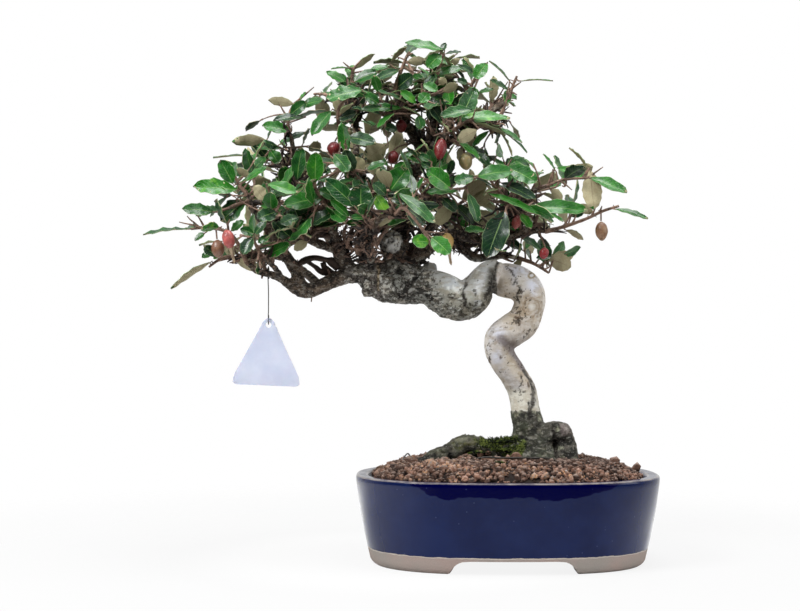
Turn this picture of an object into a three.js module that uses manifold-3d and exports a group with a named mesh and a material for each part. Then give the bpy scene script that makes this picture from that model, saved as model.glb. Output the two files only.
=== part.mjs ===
// Thorny olive bonsai in an oval glazed pot. Millimetres, +Z up, the pot's front faces -Y.
import * as THREE from "three";
import { mergeVertices } from "three/addons/utils/BufferGeometryUtils.js";
import Module from "manifold-3d";

const wasm = await Module();
wasm.setup();

// Pot sizes.
const POT_LENGTH = 186.6;
const POT_WIDTH = 140;
const POT_HEIGHT = 54;
const RIM_WIDTH = 8;
const FOOT_HEIGHT = 8.3;
const FOOT_WALL = 9;
const FLOOR_THICKNESS = 5.2;
const OVAL_POWER = 2.5;
const OVAL_STEPS = 36;
const DRAIN_RADIUS = 9;
const DRAIN_X = 38;

// Soil, wires and screens.
const GAP = 0.35;
const TOLERANCES = [0.15, 0.18, 0.12, 0.2];
const SOIL_EDGE = 52;
const SOIL_MOUND = 11.5;
const SOIL_GRAIN = 1.3;
const SCREEN_SIZE = 26;
const SCREEN_THICKNESS = 1;
const SCREEN_HOLE = 5.5;
const SCREEN_PITCH = 7.6;
const ANCHOR_RADIUS = 0.6;
const PIN_RADIUS = 0.45;

// Leaves, twigs and berries.
const BLADE = 0.62;
const STALK = 0.45;
const TWIG_END = 0.75;
const TWIG_SIDES = 3;
const ROOT_SIDES = 7;
const TRUNK_SIDES = 9;
const BERRY_SIDES = 5;
const LEAN_TRIES = [-0.25, 0.12, -0.5, 0.3, -0.75, 0.5, -1.0, 0.75];
const ROLL_TRIES = [0, 18, -18, 36];
const FILL_TRIES = 14;
const CLEARANCE = 0.3;
const BURIED_END = 0.82;
const ROOT_SPREAD = 1.8;
const GOLDEN_ANGLE = 2.39996;

// The hanging tag.
const TAG_WIDTH = 46;
const TAG_HEIGHT = 43;
const TAG_THICKNESS = 0.8;
const TAG_CORNER = 3;
const TAG_HOLE = 1.7;
const TAG_TILT = 2.4;
const TAG_WIRE = 0.3;

// The tree's places are read on the front view. u runs to the right and v down, in steps of
// 0.62 mm at the pot's middle plane, and the depth is in millimetres behind that plane. The
// view is from 900 mm in front of the plane and 136.3 mm above the ground, over u 400.
const STEP = 0.62;
const VIEW_DISTANCE = 900;
const VIEW_HEIGHT = 136.3;
const VIEW_U = 400;
const VIEW_V = 340;
const POT_U = 506.5;

function place(u, v, depth) {
  const step = STEP * (1 + depth / VIEW_DISTANCE);
  const x = (VIEW_U - POT_U) * STEP + (u - VIEW_U) * step;
  return new THREE.Vector3(x, depth, VIEW_HEIGHT - (v - VIEW_V) * step);
}

// The crown's outline in the front view. The leaves that a rule places stay inside it.
const CROWN = [
  [150, 235], [180, 205], [194, 180], [215, 160], [232, 135], [262, 118], [270, 100], [300, 93],
  [326, 85], [330, 68], [350, 62], [375, 54], [402, 42], [425, 40], [462, 52], [490, 62],
  [512, 78], [518, 100], [510, 122], [528, 152], [548, 154], [570, 152], [600, 170], [626, 190],
  [640, 216], [622, 224], [600, 238], [584, 240], [570, 266], [548, 272], [520, 266], [503, 257],
  [470, 256], [445, 258], [430, 250], [405, 238], [375, 233], [345, 232], [310, 240], [290, 250],
  [262, 274], [235, 268], [212, 260], [185, 274], [172, 284], [168, 276], [198, 250],
];
const CROWN_CENTRE = place(395, 205, 0);

// The trunk in two runs that pinch together at the tight bend: u, v, depth, radius.
const TRUNK_LOW = [
  [528, 446, 0, 12.5], [526, 428, 0, 10], [525, 411, 0, 9], [524, 400, 1, 9], [521, 388, 2, 9.2],
  [513, 374, 0, 8.9], [503, 360, -3, 8.6], [499, 348, -5, 8.8], [501, 338, -5, 9.6],
  [511, 331, -3, 10.3], [522, 322, 1, 10.5], [528, 310, 3, 10], [530, 300, 3, 10.3],
  [526, 289, 3, 10.6], [517, 282.5, 2, 10.7], [507, 280.5, 2, 10.6], [499, 280, 2, 10],
  [494, 280, 1, 8.6], [491.5, 280, 0, 6],
];
const TRUNK_HIGH = [
  [503, 279, -2, 6.5], [498, 278.5, -3, 8.6], [492, 279, -4, 10], [485, 281, -4, 10.6],
  [479, 289, -5, 11.2],
  [473, 296, -6, 11.6], [464, 300, -6, 12], [454, 299, -6, 12.3], [444, 294, -5, 12.4],
  [434, 289, -3, 11.6], [424, 287, -2, 11], [412, 285, 0, 12], [398, 284, 0, 12.5],
  [385, 281, 0, 12], [374, 277, 0, 10], [363, 275, 0, 8], [357, 275, 0, 6],
];
const TRUNK_STUBS = [
  [[369, 284, -4, 5], [368, 292, -5, 3.2], [368, 296, -5, 2.4]],
  [[378, 268, -3, 3.4], [379.5, 279, -13, 1], [377.5, 291, -14.5, 0.9]],
  [[424, 284, 0, 8], [430, 268, 4, 4.4], [431, 264, 5, 3.4]],
];

// The root base and the roots that show above the soil before they dip into it.
const ROOTS = [
  [[526, 425, 0.5, 9.2], [527, 438, 0, 12.5], [530, 447, 0, 16], [532, 456, 0, 19],
    [533, 468, 0, 19], [533, 484, 0, 14]],
  [[540, 441, -2, 7.5], [551, 431, -4, 7.6], [562, 430, -5, 6.8], [567, 440, -5, 6.3],
    [568, 452, -6, 6.8], [569, 466, -7, 7], [570, 480, -8, 4.5]],
  [[508, 456, -5, 8], [492, 452, -8, 7], [479, 447, -9, 6.6], [468, 443, -10, 5.4],
    [457, 447, -10, 5.4], [448, 454, -11, 5], [438, 461, -12, 4], [426, 468, -14, 2.8]],
  [[522, 452, -8, 9], [519, 462, -18, 7], [513, 476, -27, 4.5]],
  [[542, 450, 8, 8], [553, 462, 22, 5], [561, 476, 32, 3.2]],
  [[514, 452, 8, 8], [495, 462, 22, 5.4], [481, 475, 33, 3.4]],
  [[545, 455, -12, 6], [548, 469, -19, 4.4], [552, 482, -25, 3]],
];

// The branches: u, v, depth, radius. Each starts inside its parent, and where a spray has the
// same name, the spray grows on from the branch's end.
const BRANCHES = {
  west_tip: [[372, 277, 0, 8], [355, 276, -3, 6.5], [340, 278, -6, 6.2], [325, 284, -9, 6],
    [312, 290, -11, 5.8], [303, 292, -12, 5.4], [292, 287, -13, 4.5], [282, 279, -14, 3.9],
    [270, 274, -15, 3.1], [257, 271, -17, 2.2], [249, 264, -19, 1.7]],
  west_upper: [[303, 290, -12, 5], [297, 275, -12, 4.8], [288, 259, -12, 4.6],
    [277, 243, -14, 4.2], [267, 228, -16, 3.6], [258, 216, -18, 2.7], [250, 206, -20, 1.8]],
  west_low: [[286, 257, -12, 3.2], [273, 256, -9, 2.8], [255, 256, -8, 2.3],
    [240, 258, -9, 1.7]],
  west_front: [[281, 279, -14, 2.8], [275, 268, -24, 1.9], [263, 257, -30, 1.4]],
  west_crown: [[262, 222, -17, 2.6], [253, 206, -26, 1.9], [247, 195, -30, 1.4]],
  west_mid: [[277, 243, -14, 3], [275, 228, -26, 2.2], [273, 217, -34, 1.5]],
  rise_left: [[352, 274, 0, 7.5], [343, 262, -4, 6.4], [338, 248, -10, 5], [333, 232, -16, 4.3],
    [329, 215, -20, 3.2], [327, 209, -21, 2]],
  left_front: [[337, 250, -9, 3.4], [326, 247, -18, 2.8], [313, 243, -25, 2], [308, 240, -28, 1.5]],
  left_back: [[333, 234, -14, 3.4], [320, 215, -2, 3], [303, 195, 6, 2.6], [290, 175, 10, 2.1],
    [282, 161, 12, 1.5]],
  left_top: [[297, 186, 8, 2.6], [297, 165, 2, 2.2], [293, 146, -2, 1.8], [290, 133, -4, 1.4]],
  mid_rise: [[373, 272, -2, 6], [367, 252, -8, 4.2], [368, 230, -14, 3.7], [369, 208, -18, 3.2],
    [362, 190, -18, 2.8], [353, 170, -16, 2.5], [345, 147, -14, 1.7]],
  mid_top: [[353, 170, -16, 2.6], [356, 150, -4, 2.3], [355, 125, 4, 2], [353, 105, 8, 1.8],
    [352, 93, 8, 1.4]],
  mid_front: [[368, 232, -13, 3.2], [364, 221, -31, 1.8]],
  mid_side: [[365, 197, -18, 2.6], [372, 193, -26, 1.7]],
  mid_left: [[352, 168, -16, 2.2], [347, 168, -22, 1.6]],
  stump: [[396, 278, 2, 11], [398, 262, 3, 9], [399, 248, 4, 7.2], [398, 238, 4, 5.6],
    [397, 234, 4, 3.2]],
  centre: [[403, 252, 6, 6.2], [401, 228, 10, 5], [403, 203, 14, 4.6], [413, 180, 14, 4.3],
    [424, 158, 12, 4.3], [431, 136, 10, 4.1], [437, 114, 8, 4.2], [438, 99, 6, 3.6],
    [436, 89, 5, 2]],
  centre_left: [[424, 158, 12, 3.6], [411, 132, 10, 3.2], [399, 110, 8, 3], [396, 92, 6, 1.9]],
  centre_fork: [[401, 114, 8, 2.4], [395, 118, 0, 1.9], [390, 119, -6, 1.4]],
  centre_mid: [[437, 112, 8, 3], [430, 106, -2, 2.1], [426, 101, -8, 1.4]],
  right_top: [[427, 152, 11, 3.2], [442, 146, 10, 2.9], [458, 137, 10, 2.6], [473, 127, 11, 2.4],
    [487, 116, 11, 2.3], [500, 105, 9, 2.2], [507, 99, 8, 1.6]],
  right_crest: [[466, 131, 11, 2.4], [467, 115, 10, 2], [469, 99, 8, 1.6]],
  right_twig: [[427, 152, 8, 2.6], [437, 141, -4, 2], [449, 133, -12, 1.5]],
  right_fall: [[486, 117, 11, 2], [489, 124, 8, 1.7], [491, 130, 6, 1.3]],
  east: [[410, 264, 4, 7], [427, 250, 4, 5.6], [444, 237, 4, 5], [458, 235, 6, 4.8],
    [472, 238, 8, 4.4], [486, 241, 10, 3.8], [500, 240, 9, 3.2], [515, 236, 7, 2.6],
    [530, 231, 4, 2.2], [545, 231, 0, 1.7]],
  east_low: [[447, 238, 6, 4], [460, 247, 13, 3.6], [474, 257, 18, 3.2], [490, 257, 20, 2.8],
    [504, 255, 17, 2.3], [517, 258, 13.5, 1.6]],
  east_rise: [[486, 241, 10, 3.2], [496, 229, 5, 2.9], [508, 216, 0, 2.6], [518, 204, -4, 2.4],
    [528, 194, -7, 2.1], [538, 189, -9, 1.6]],
  east_up: [[512, 211, -2, 2.4], [509, 206, -9, 1.9], [506, 202, -13, 1.5]],
  right_mid: [[402, 216, 12, 4], [414, 206, 0, 3.1], [430, 198, -10, 2.5], [436, 196, -13.5, 1.8]],
  right_lift: [[429, 199, -9, 2.2], [434, 189, -20, 1.7], [436, 182, -26, 1.3]],
  front: [[372, 262, -6, 4], [378, 246, -26, 3], [386, 230, -41, 2.2], [394, 214, -50, 1.5]],
  back_left: [[343, 260, -3, 4], [330, 240, 22, 3], [310, 222, 38, 2.3], [293, 209, 50, 1.5]],
  back_low: [[320, 286, -8, 4], [305, 272, 18, 2.8], [288, 258, 34, 2.1], [273, 247, 44, 1.4]],
  back_mid: [[402, 225, 11, 4], [392, 200, 34, 2.8], [382, 178, 48, 2.2], [375, 162, 55, 1.5]],
  back_top: [[437, 116, 8, 3.2], [428, 98, 24, 2.3], [420, 86, 35, 1.8], [415, 77, 41, 1.3]],
  back_crest: [[466, 131, 11, 2.2], [478, 120, 27, 1.8], [487, 111, 38, 1.3]],
  back_right: [[486, 241, 10.5, 3], [498, 224, 30, 2.4], [512, 209, 44, 1.9], [522, 200, 51, 1.4]],
  back_centre: [[412, 258, 7, 4.4], [424, 238, 30, 3.1], [440, 220, 48, 2.4], [452, 210, 58, 1.6]],
  back_peak: [[353, 108, 8, 2], [340, 101, 25, 1.7], [331, 97, 34, 1.3]],
};

// The sprays. path: u, v, depth of the twig past its branch. bare: bare spikes, from u, v to
// u, v. leaves: from u, v at the blade's base to u, v at its tip, width in millimetres, and
// the roll in degrees, where 0 faces the viewer, 90 faces up and 180 shows the underside.
// fill: how many further leaves the rule places.
const SPRAYS = {
  west_low: { path: [[226, 257, -11], [217, 261, -13], [209, 267, -15]], fill: 1,
    leaves: [[211, 262, 171, 289, 7, 115], [216, 250, 202, 258, 6.5, 40], [235, 260, 260, 270, 7, 160]] },
  west_tip: { path: [[243, 255, -20], [237, 242, -22], [229, 233, -23], [218, 229, -24],
    [204, 228, -24], [191, 229, -24]], fill: 1,
    bare: [[204, 228, 179, 222], [201, 227, 187, 216], [206, 227, 197, 215]],
    leaves: [[190, 229, 143, 235, 8, 72], [231, 231, 244, 221, 6, 30]] },
  west_upper: { path: [[241, 203, -22], [229, 208, -24], [217, 212, -25]], fill: 1,
    leaves: [[214, 212, 182, 209, 9, 35], [246, 201, 221, 221, 13, 20], [237, 190, 193, 187, 11.5, 30]] },
  west_crown: { path: [[240, 186, -32], [235, 176, -33]], fill: 1,
    leaves: [[233, 184, 220, 160, 9.5, 15], [245, 181, 268, 167, 6.5, 45]] },
  left_back: { path: [[274, 154, 10], [268, 147, 8], [264, 140, 7]], fill: 1,
    leaves: [[266, 140, 232, 142, 7.5, 155], [262, 157, 213, 158, 7, 80], [270, 150, 279, 164, 8, 20],
      [281, 144, 306, 133, 6.5, 45]] },
  left_top: { path: [[288, 122, -5], [290, 112, -6], [294, 104, -6]], fill: 1,
    bare: [[300, 103, 314, 87], [288, 120, 279, 104]],
    leaves: [[290, 131, 262, 126, 9, 30], [294, 104, 268, 100, 6, 160], [300, 107, 324, 100, 8, 40],
      [290, 115, 307, 102, 8, 15], [304, 117, 273, 121, 6.5, 40]] },
  mid_rise: { path: [[340, 133, -12], [338, 112, -16], [345, 100, -17], [356, 93, -17]], fill: 1,
    leaves: [[362, 90, 326, 100, 12, 35], [331, 111, 312, 136, 9, 25], [338, 119, 357, 113, 8, 30],
      [347, 137, 376, 144, 10, 30]] },
  mid_top: { path: [[352, 82, 7], [352, 74, 6], [353, 68, 5]], fill: 1,
    bare: [[353, 70, 343, 62], [354, 70, 361, 60]],
    leaves: [[346, 82, 326, 72, 7.5, 40], [354, 82, 378, 72, 8.5, 30], [370, 70, 388, 67, 6, 45],
      [355, 69, 375, 54, 5, 130]] },
  centre_left: { path: [[398, 79, 4], [403, 66, 2], [407, 56, 1], [410, 52, 0]], fill: 1,
    bare: [[408, 56, 413, 53]],
    leaves: [[391, 62, 407, 47, 5, 120], [407, 62, 426, 61, 6, 155], [400, 70, 375, 80, 6.5, 30],
      [397, 88, 413, 75, 10, 10], [424, 80, 412, 76, 5.5, 40]] },
  centre: { path: [[437, 79, 4], [438, 70, 2], [441, 61, 0], [444, 54, -1]], fill: 1,
    leaves: [[443, 50, 405, 43, 8, 40],
      [441, 54, 427, 68, 9, 10], [430, 76, 463, 68, 7.5, 40]] },
  centre_mid: { path: [[423, 96, -11], [422, 90, -13]], fill: 1,
    bare: [[424, 97, 448, 88]],
    leaves: [[423, 84, 438, 91, 6.5, 20], [429, 93, 420, 103, 8, 20], [416, 104, 400, 91, 6.5, 30],
      [443, 92, 458, 84, 6, 160]] },
  right_crest: { path: [[471, 89, 6], [474, 80, 5], [487, 64, 3]], fill: 1,
    leaves: [[487, 63, 475, 79, 9, 20], [474, 74, 459, 66, 5.5, 40],
      [468, 88, 479, 96, 5.5, 15]] },
  right_top: { path: [[511, 91, 7], [514, 83, 6], [517, 76, 5]], fill: 0,
    bare: [[513, 88, 521, 82], [511, 92, 517, 95]],
    leaves: [[511, 83, 489, 61, 5, 70], [508, 90, 490, 80, 6, 50], [521, 81, 553, 81, 4.5, 80]] },
  right_twig: { path: [[461, 125, -16], [473, 118, -20]], fill: 2,
    leaves: [[462, 117, 510, 119, 8.5, 40], [473, 110, 440, 117, 9, 35], [477, 130, 458, 141, 8, 160],
      [459, 142, 480, 159, 6, 45]] },
  right_fall: { path: [[495, 129, 5], [501, 128, 4]], fill: 2,
    leaves: [[489, 131, 473, 148, 6, 50], [500, 128, 522, 143, 6, 55]] },
  east_up: { path: [[502, 196, -16], [496, 188, -18], [490, 180, -20]], fill: 1,
    leaves: [[477, 176, 513, 171, 11, 25], [507, 167, 537, 183, 12, 25], [514, 160, 529, 168, 7, 20],
      [501, 183, 536, 200, 8, 30], [487, 193, 541, 216, 6, 45], [505, 211, 487, 258, 15.5, 8],
      [529, 208, 588, 211, 11, 35], [520, 214, 531, 229, 6, 30]] },
  east_rise: { path: [[547, 186, -10], [556, 182, -12], [568, 179, -14], [590, 178, -17]], fill: 1,
    bare: [[588, 179, 603, 167], [548, 186, 553, 169], [560, 182, 572, 190]],
    leaves: [[557, 168, 588, 179, 8, 35], [590, 178, 627, 193, 9, 35],
      [590, 170, 594, 209, 12, 172], [587, 167, 569, 148, 4.5, 100], [551, 189, 562, 200, 6, 140]] },
  east: { path: [[556, 229, -3], [572, 224, -6], [588, 218, -9], [603, 211, -12], [619, 206, -14]], fill: 0,
    bare: [[592, 216, 596, 205], [599, 213, 602, 206], [572, 224, 576, 215]],
    leaves: [[614, 209, 648, 219, 5.5, 50], [577, 205, 593, 213, 6, 160], [566, 230, 583, 240, 5, 130]] },
  east_low: { path: [[530, 262, 11], [538, 266, 9], [549, 273, 8]], fill: 1,
    bare: [[531, 262, 530, 251]],
    leaves: [[549, 258, 571, 267, 11, 165], [542, 251, 520, 236, 6, 40]] },
  right_mid: { path: [[443, 194, -17], [451, 190, -20], [467, 188, -23]], fill: 1,
    leaves: [[468, 193, 478, 223, 7.5, 30], [459, 191, 426, 193, 6.5, 45], [442, 198, 457, 212, 7.5, 25],
      [452, 206, 436, 224, 9, 165], [474, 178, 454, 182, 8.5, 30]] },
  right_lift: { path: [[434, 174, -28], [431, 166, -30]], fill: 0,
    leaves: [[450, 188, 426, 170, 12.5, 20],
      [414, 186, 400, 150, 4.5, 55]] },
  front: { path: [[403, 208, -53], [412, 216, -55], [420, 226, -56], [427, 235, -57]], fill: 0,
    leaves: [[398, 193, 435, 223, 8.5, 35], [404, 207, 424, 223, 12, 20],
      [429, 242, 412, 241, 8.5, 15], [431, 237, 450, 254, 10.5, 20]] },
  mid_side: { path: [[380, 190, -35], [391, 191, -41]], fill: 1,
    leaves: [[390, 191, 408, 168, 13.5, 12], [375, 194, 387, 216, 8, 15], [386, 195, 373, 183, 8, 25]] },
  mid_front: { path: [[361, 215, -42], [360, 210, -46]], fill: 1,
    leaves: [[361, 211, 361, 184, 14.5, 12], [349, 217, 330, 200, 6, 30], [369, 228, 393, 217, 6, 150]] },
  rise_left: { path: [[323, 202, -23], [318, 193, -26], [313, 182, -31]], fill: 0,
    leaves: [[315, 183, 316, 152, 10.5, 5], [337, 198, 318, 190, 8, 25],
      [323, 198, 283, 206, 12, 25], [297, 180, 302, 147, 9, 15], [336, 210, 308, 227, 9, 35]] },
  mid_left: { path: [[340, 167, -30], [335, 160, -34]], fill: 1,
    leaves: [[334, 154, 349, 172, 9.5, 20], [347, 177, 331, 158, 9, 40], [364, 172, 352, 158, 9, 165],
      [366, 170, 386, 162, 6, 40]] },
  left_front: { path: [[302, 237, -31], [294, 230, -34], [287, 225, -36]], fill: 3,
    leaves: [[299, 217, 280, 224, 8, 30], [276, 212, 257, 219, 9, 30], [308, 241, 294, 250, 6, 160]] },
  west_mid: { path: [[271, 209, -37], [268, 200, -39], [269, 192, -40]], fill: 1,
    leaves: [[271, 209, 271, 192, 9.5, 15], [268, 184, 298, 193, 8, 30], [265, 200, 254, 186, 8, 160]] },
  west_front: { path: [[257, 247, -33], [253, 239, -35]], fill: 1,
    leaves: [[253, 237, 243, 255, 8.5, 25], [254, 234, 240, 229, 6, 25], [254, 235, 267, 221, 6, 30],
      [270, 236, 258, 243, 5, 25]] },
  centre_fork: { path: [[385, 116, -9], [380, 112, -11]], fill: 1,
    leaves: [[402, 108, 360, 110, 7.5, 40], [384, 126, 397, 131, 6, 20], [379, 104, 364, 95, 7.5, 25],
      [386, 145, 366, 160, 13, 165], [418, 116, 421, 130, 7, 20]] },
  back_left: { path: [[280, 201, 56], [256, 194, 63]], fill: 5, leaves: [] },
  back_low: { path: [[262, 240, 48], [240, 235, 53]], fill: 5, leaves: [] },
  back_mid: { path: [[369, 150, 60], [358, 127, 66]], fill: 5, leaves: [] },
  back_top: { path: [[411, 69, 46], [408, 62, 50]], fill: 4, leaves: [] },
  back_crest: { path: [[493, 104, 43], [498, 99, 47]], fill: 4, leaves: [] },
  back_right: { path: [[532, 193, 56], [556, 187, 62]], fill: 5, leaves: [] },
  back_centre: { path: [[462, 202, 64], [477, 192, 70]], fill: 5, leaves: [] },
  back_peak: { path: [[322, 94, 41], [314, 94, 45]], fill: 4, leaves: [] },
};

// The berries. stalk: u, v, depth from the wood or twig that bears it down to its top. end:
// u, v, depth of its lower end. radius in millimetres. tail: the length of the dry tail.
const BERRIES = {
  pink: { bearer: "west_tip", stalk: [[226, 231, -23], [226, 229, -30]],
    end: [231, 249, -31], radius: 3.7, tail: 9 },
  brown: { bearer: "west_tip", stalk: [[216, 229, -24], [217, 239, -24]],
    end: [219, 258, -24], radius: 4, tail: 0 },
  crimson: { bearer: "mid_rise", stalk: [[340, 133, -12], [335, 141, -13]],
    end: [333, 156, -14], radius: 4.2, tail: 0 },
  scarlet: { bearer: "wood", stalk: [[401, 114, 6], [401, 119, -1]],
    end: [401, 133, -3], radius: 3.4, tail: 0 },
  garnet: { bearer: "wood", stalk: [[415, 142, 10], [400, 146, 0], [394, 150, -3]],
    end: [392, 164, -5], radius: 3.6, tail: 0 },
  ruby: { bearer: "wood", stalk: [[441, 139, -6], [442, 138, -15]],
    end: [439, 160, -18], radius: 3.7, tail: 0 },
  olive: { bearer: "wood", stalk: [[458, 138, 9], [463, 145, 2], [464, 153, -2]],
    end: [467, 170, -4], radius: 4.2, tail: 0 },
  amber: { bearer: "wood", stalk: [[446, 236, 3], [447, 229, -8], [446, 232, -13]],
    end: [449, 251, -15], radius: 3.7, tail: 9 },
  tan: { bearer: "east", stalk: [[601, 212, -12], [601, 221, -12]],
    end: [602, 241, -12], radius: 3.8, tail: 0 },
  rose: { bearer: "wood", stalk: [[539, 231, 1], [545, 247, 0]],
    end: [543, 259, -2], radius: 3, tail: 0 },
  rust: { bearer: "wood", stalk: [[518, 205, -4], [518, 214, -8]],
    end: [515, 229, -10], radius: 2.9, tail: 0 },
};

const ANCHOR_LOOP = [
  [-35, 0, 7.4], [0, 0, 7.2], [35, 0, 7.4], [38, 0, 11], [38, 0, 18], [37.5, -8, 38],
  [34, -20, 55], [27, -27, 64], [12, -30.5, 65.6], [-5, -30.5, 65.6], [-19, -28, 65.2],
  [-30, -21, 57], [-37, -9, 40], [-38, 0, 18], [-38, 0, 11],
];
const PIN_PATH = [
  [-64.8, -2, 48], [-64.8, -2, 60], [-63.8, -2.1, 63.4], [-61.5, -2.3, 66], [-60, -2.2, 64.6],
  [-59.8, -2, 60], [-59.8, -2, 48],
];
const TAG_TOP = [268.5, 315, -15];
const TAG_HANG = [268.5, 273.4, -15];

function vec(x, y, z) {
  return new THREE.Vector3(x, y, z);
}

// The same seed always gives the same run of numbers from 0 to 1.
function draws(seed) {
  let state = seed * 7919 + 12345;
  const next = () => {
    state = (state * 1664525 + 1013904223) % 4294967296;
    return state / 4294967296;
  };
  next();
  next();
  return next;
}

function meshGeometry(points, faces) {
  const geometry = new THREE.BufferGeometry();
  const position = new Float32Array(points.length * 3);
  points.forEach((p, i) => p.toArray(position, i * 3));
  geometry.setAttribute("position", new THREE.BufferAttribute(position, 3));
  geometry.setIndex(faces.flat());
  return geometry;
}

// Turns the faces round where a closed mesh came out inside out.
function facingOut(points, faces) {
  let volume = 0;
  for (const [a, b, c] of faces) {
    volume += points[a].dot(points[b].clone().cross(points[c]));
  }
  return volume < 0 ? faces.map(([a, b, c]) => [a, c, b]) : faces;
}

// Walls between rings of points, with flat ends.
function rings(loops, closedRun = false) {
  const count = loops[0].length;
  const points = loops.flat();
  const faces = [];
  const last = closedRun ? loops.length : loops.length - 1;
  for (let i = 0; i < last; i++) {
    const a = i * count;
    const b = ((i + 1) % loops.length) * count;
    for (let j = 0; j < count; j++) {
      const k = (j + 1) % count;
      faces.push([a + j, a + k, b + k], [a + j, b + k, b + j]);
    }
  }
  if (!closedRun) {
    const top = (loops.length - 1) * count;
    for (let j = 1; j < count - 1; j++) {
      faces.push([0, j + 1, j], [top, top + j, top + j + 1]);
    }
  }
  return { points, faces: facingOut(points, faces) };
}

function toSolid({ points, faces }) {
  const geometry = mergeVertices(meshGeometry(points, faces), 1e-4);
  return geometrySolid(geometry);
}

function geometrySolid(source) {
  const geometry = source.clone();
  geometry.deleteAttribute("normal");
  geometry.deleteAttribute("uv");
  const merged = mergeVertices(geometry, 1e-4);
  return new wasm.Manifold(new wasm.Mesh({
    numProp: 3,
    vertProperties: new Float32Array(merged.attributes.position.array),
    triVerts: new Uint32Array(merged.index.array),
  }));
}

// The least height of a solid's triangles.
function thinnest(solid) {
  const { vertProperties, triVerts } = solid.getMesh();
  const corner = (i) => vec(...vertProperties.slice(triVerts[i] * 3, triVerts[i] * 3 + 3));
  let least = Infinity;
  for (let i = 0; i < triVerts.length; i += 3) {
    const [a, b, c] = [corner(i), corner(i + 1), corner(i + 2)];
    const longest = Math.max(a.distanceTo(b), b.distanceTo(c), c.distanceTo(a));
    const area = b.clone().sub(a).cross(c.clone().sub(a)).length();
    least = Math.min(least, area / longest);
  }
  return least;
}

// Joins solids and keeps the whole piece, simplified by the tolerance that leaves the fewest
// slivers.
function joined(solids, tolerances = TOLERANCES) {
  const whole = wasm.Manifold.union(solids).asOriginal();
  let best = null;
  for (const tolerance of tolerances) {
    let simple = whole.simplify(tolerance);
    for (let pass = 0; pass < 3; pass++) {
      const height = thinnest(simple);
      if (best === null || height > 1.5 * best.height) best = { height, simple };
      simple = simple.asOriginal().simplify(tolerance);
    }
  }
  const pieces = best.simple.decompose();
  pieces.sort((a, b) => b.volume() - a.volume());
  return pieces[0];
}

function solidGeometry(solid) {
  const mesh = solid.getMesh();
  const geometry = new THREE.BufferGeometry();
  geometry.setAttribute("position", new THREE.BufferAttribute(new Float32Array(mesh.vertProperties), 3));
  geometry.setIndex(new THREE.BufferAttribute(new Uint32Array(mesh.triVerts), 1));
  geometry.computeVertexNormals();
  return geometry;
}

// A tube through points of given radius. Each ring is square to the mean of its two runs, and
// its sides are carried along without twist. bark swells it in slow waves, and grow makes it
// larger all round, its ends too.
function tube(path, sides, { grow = 0, bark = 0, loop = false } = {}) {
  const count = path.length;
  const at = (i) => path[(i + count) % count].point;
  const ahead = (i) => at(i + 1).clone().sub(at(i)).normalize();
  const loops = [];
  let side = null;
  let run = 0;
  for (let i = 0; i < count; i++) {
    const first = !loop && i === 0;
    const last = !loop && i === count - 1;
    const direction = first ? ahead(0) : last ? ahead(i - 1) : ahead(i - 1).add(ahead(i)).normalize();
    if (side === null) {
      const guide = Math.abs(direction.z) < 0.9 ? vec(0, 0, 1) : vec(0, 1, 0);
      side = direction.clone().cross(guide).normalize();
    }
    side.addScaledVector(direction, -side.dot(direction)).normalize();
    const up = direction.clone().cross(side);
    if (i > 0) run += at(i).distanceTo(at(i - 1));
    const ring = [];
    const centre = at(i).clone().addScaledVector(direction, first ? -grow : last ? grow : 0);
    for (let j = 0; j < sides; j++) {
      const angle = (2 * Math.PI * j) / sides;
      const swell = 1 + bark * (Math.sin(2 * angle + run / 9) + 0.7 * Math.sin(3 * angle - run / 6.5 + 1));
      const radius = path[i].radius * swell + grow;
      ring.push(centre.clone().addScaledVector(side, radius * Math.cos(angle))
        .addScaledVector(up, radius * Math.sin(angle)));
    }
    loops.push(ring);
  }
  return rings(loops, loop);
}

function readPath(rows) {
  return rows.map(([u, v, depth, radius]) => ({ point: place(u, v, depth), radius }));
}

// A smooth curve through the rows, with extra points between them.
function smooth(path, extra, loop = false) {
  const count = path.length;
  const pick = (i) => (loop ? path[(i + count) % count] : path[Math.min(Math.max(i, 0), count - 1)]);
  const out = [];
  const runs = loop ? count : count - 1;
  for (let i = 0; i < runs; i++) {
    const [a, b, c, d] = [pick(i - 1), pick(i), pick(i + 1), pick(i + 2)];
    for (let k = 0; k <= extra; k++) {
      const t = k / (extra + 1);
      const mix = (p, q, r, s) => 0.5 * (2 * q + (r - p) * t + (2 * p - 5 * q + 4 * r - s) * t * t
        + (3 * q - p - 3 * r + s) * t * t * t);
      out.push({
        point: vec(mix(a.point.x, b.point.x, c.point.x, d.point.x),
          mix(a.point.y, b.point.y, c.point.y, d.point.y),
          mix(a.point.z, b.point.z, c.point.z, d.point.z)),
        radius: mix(a.radius, b.radius, c.radius, d.radius),
      });
    }
  }
  if (!loop) out.push(path[count - 1]);
  return out;
}

function wireSolid(rows, radius, sides, extra, loop, grow = 0) {
  const path = rows.map(([x, y, z]) => ({ point: vec(x, y, z), radius }));
  return toSolid(tube(smooth(path, extra, loop), sides, { grow, loop }));
}

// The pot.
function ovalRing(halfLength, halfWidth, z, steps = OVAL_STEPS) {
  const ring = [];
  for (let j = 0; j < steps; j++) {
    const angle = (2 * Math.PI * j) / steps;
    const c = Math.cos(angle);
    const s = Math.sin(angle);
    ring.push(vec(halfLength * Math.sign(c) * Math.abs(c) ** (2 / OVAL_POWER),
      halfWidth * Math.sign(s) * Math.abs(s) ** (2 / OVAL_POWER), z));
  }
  return ring;
}

const HALF_LENGTH = POT_LENGTH / 2;
const HALF_WIDTH = POT_WIDTH / 2;
const FLOOR_Z = FOOT_HEIGHT + FLOOR_THICKNESS;
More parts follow.
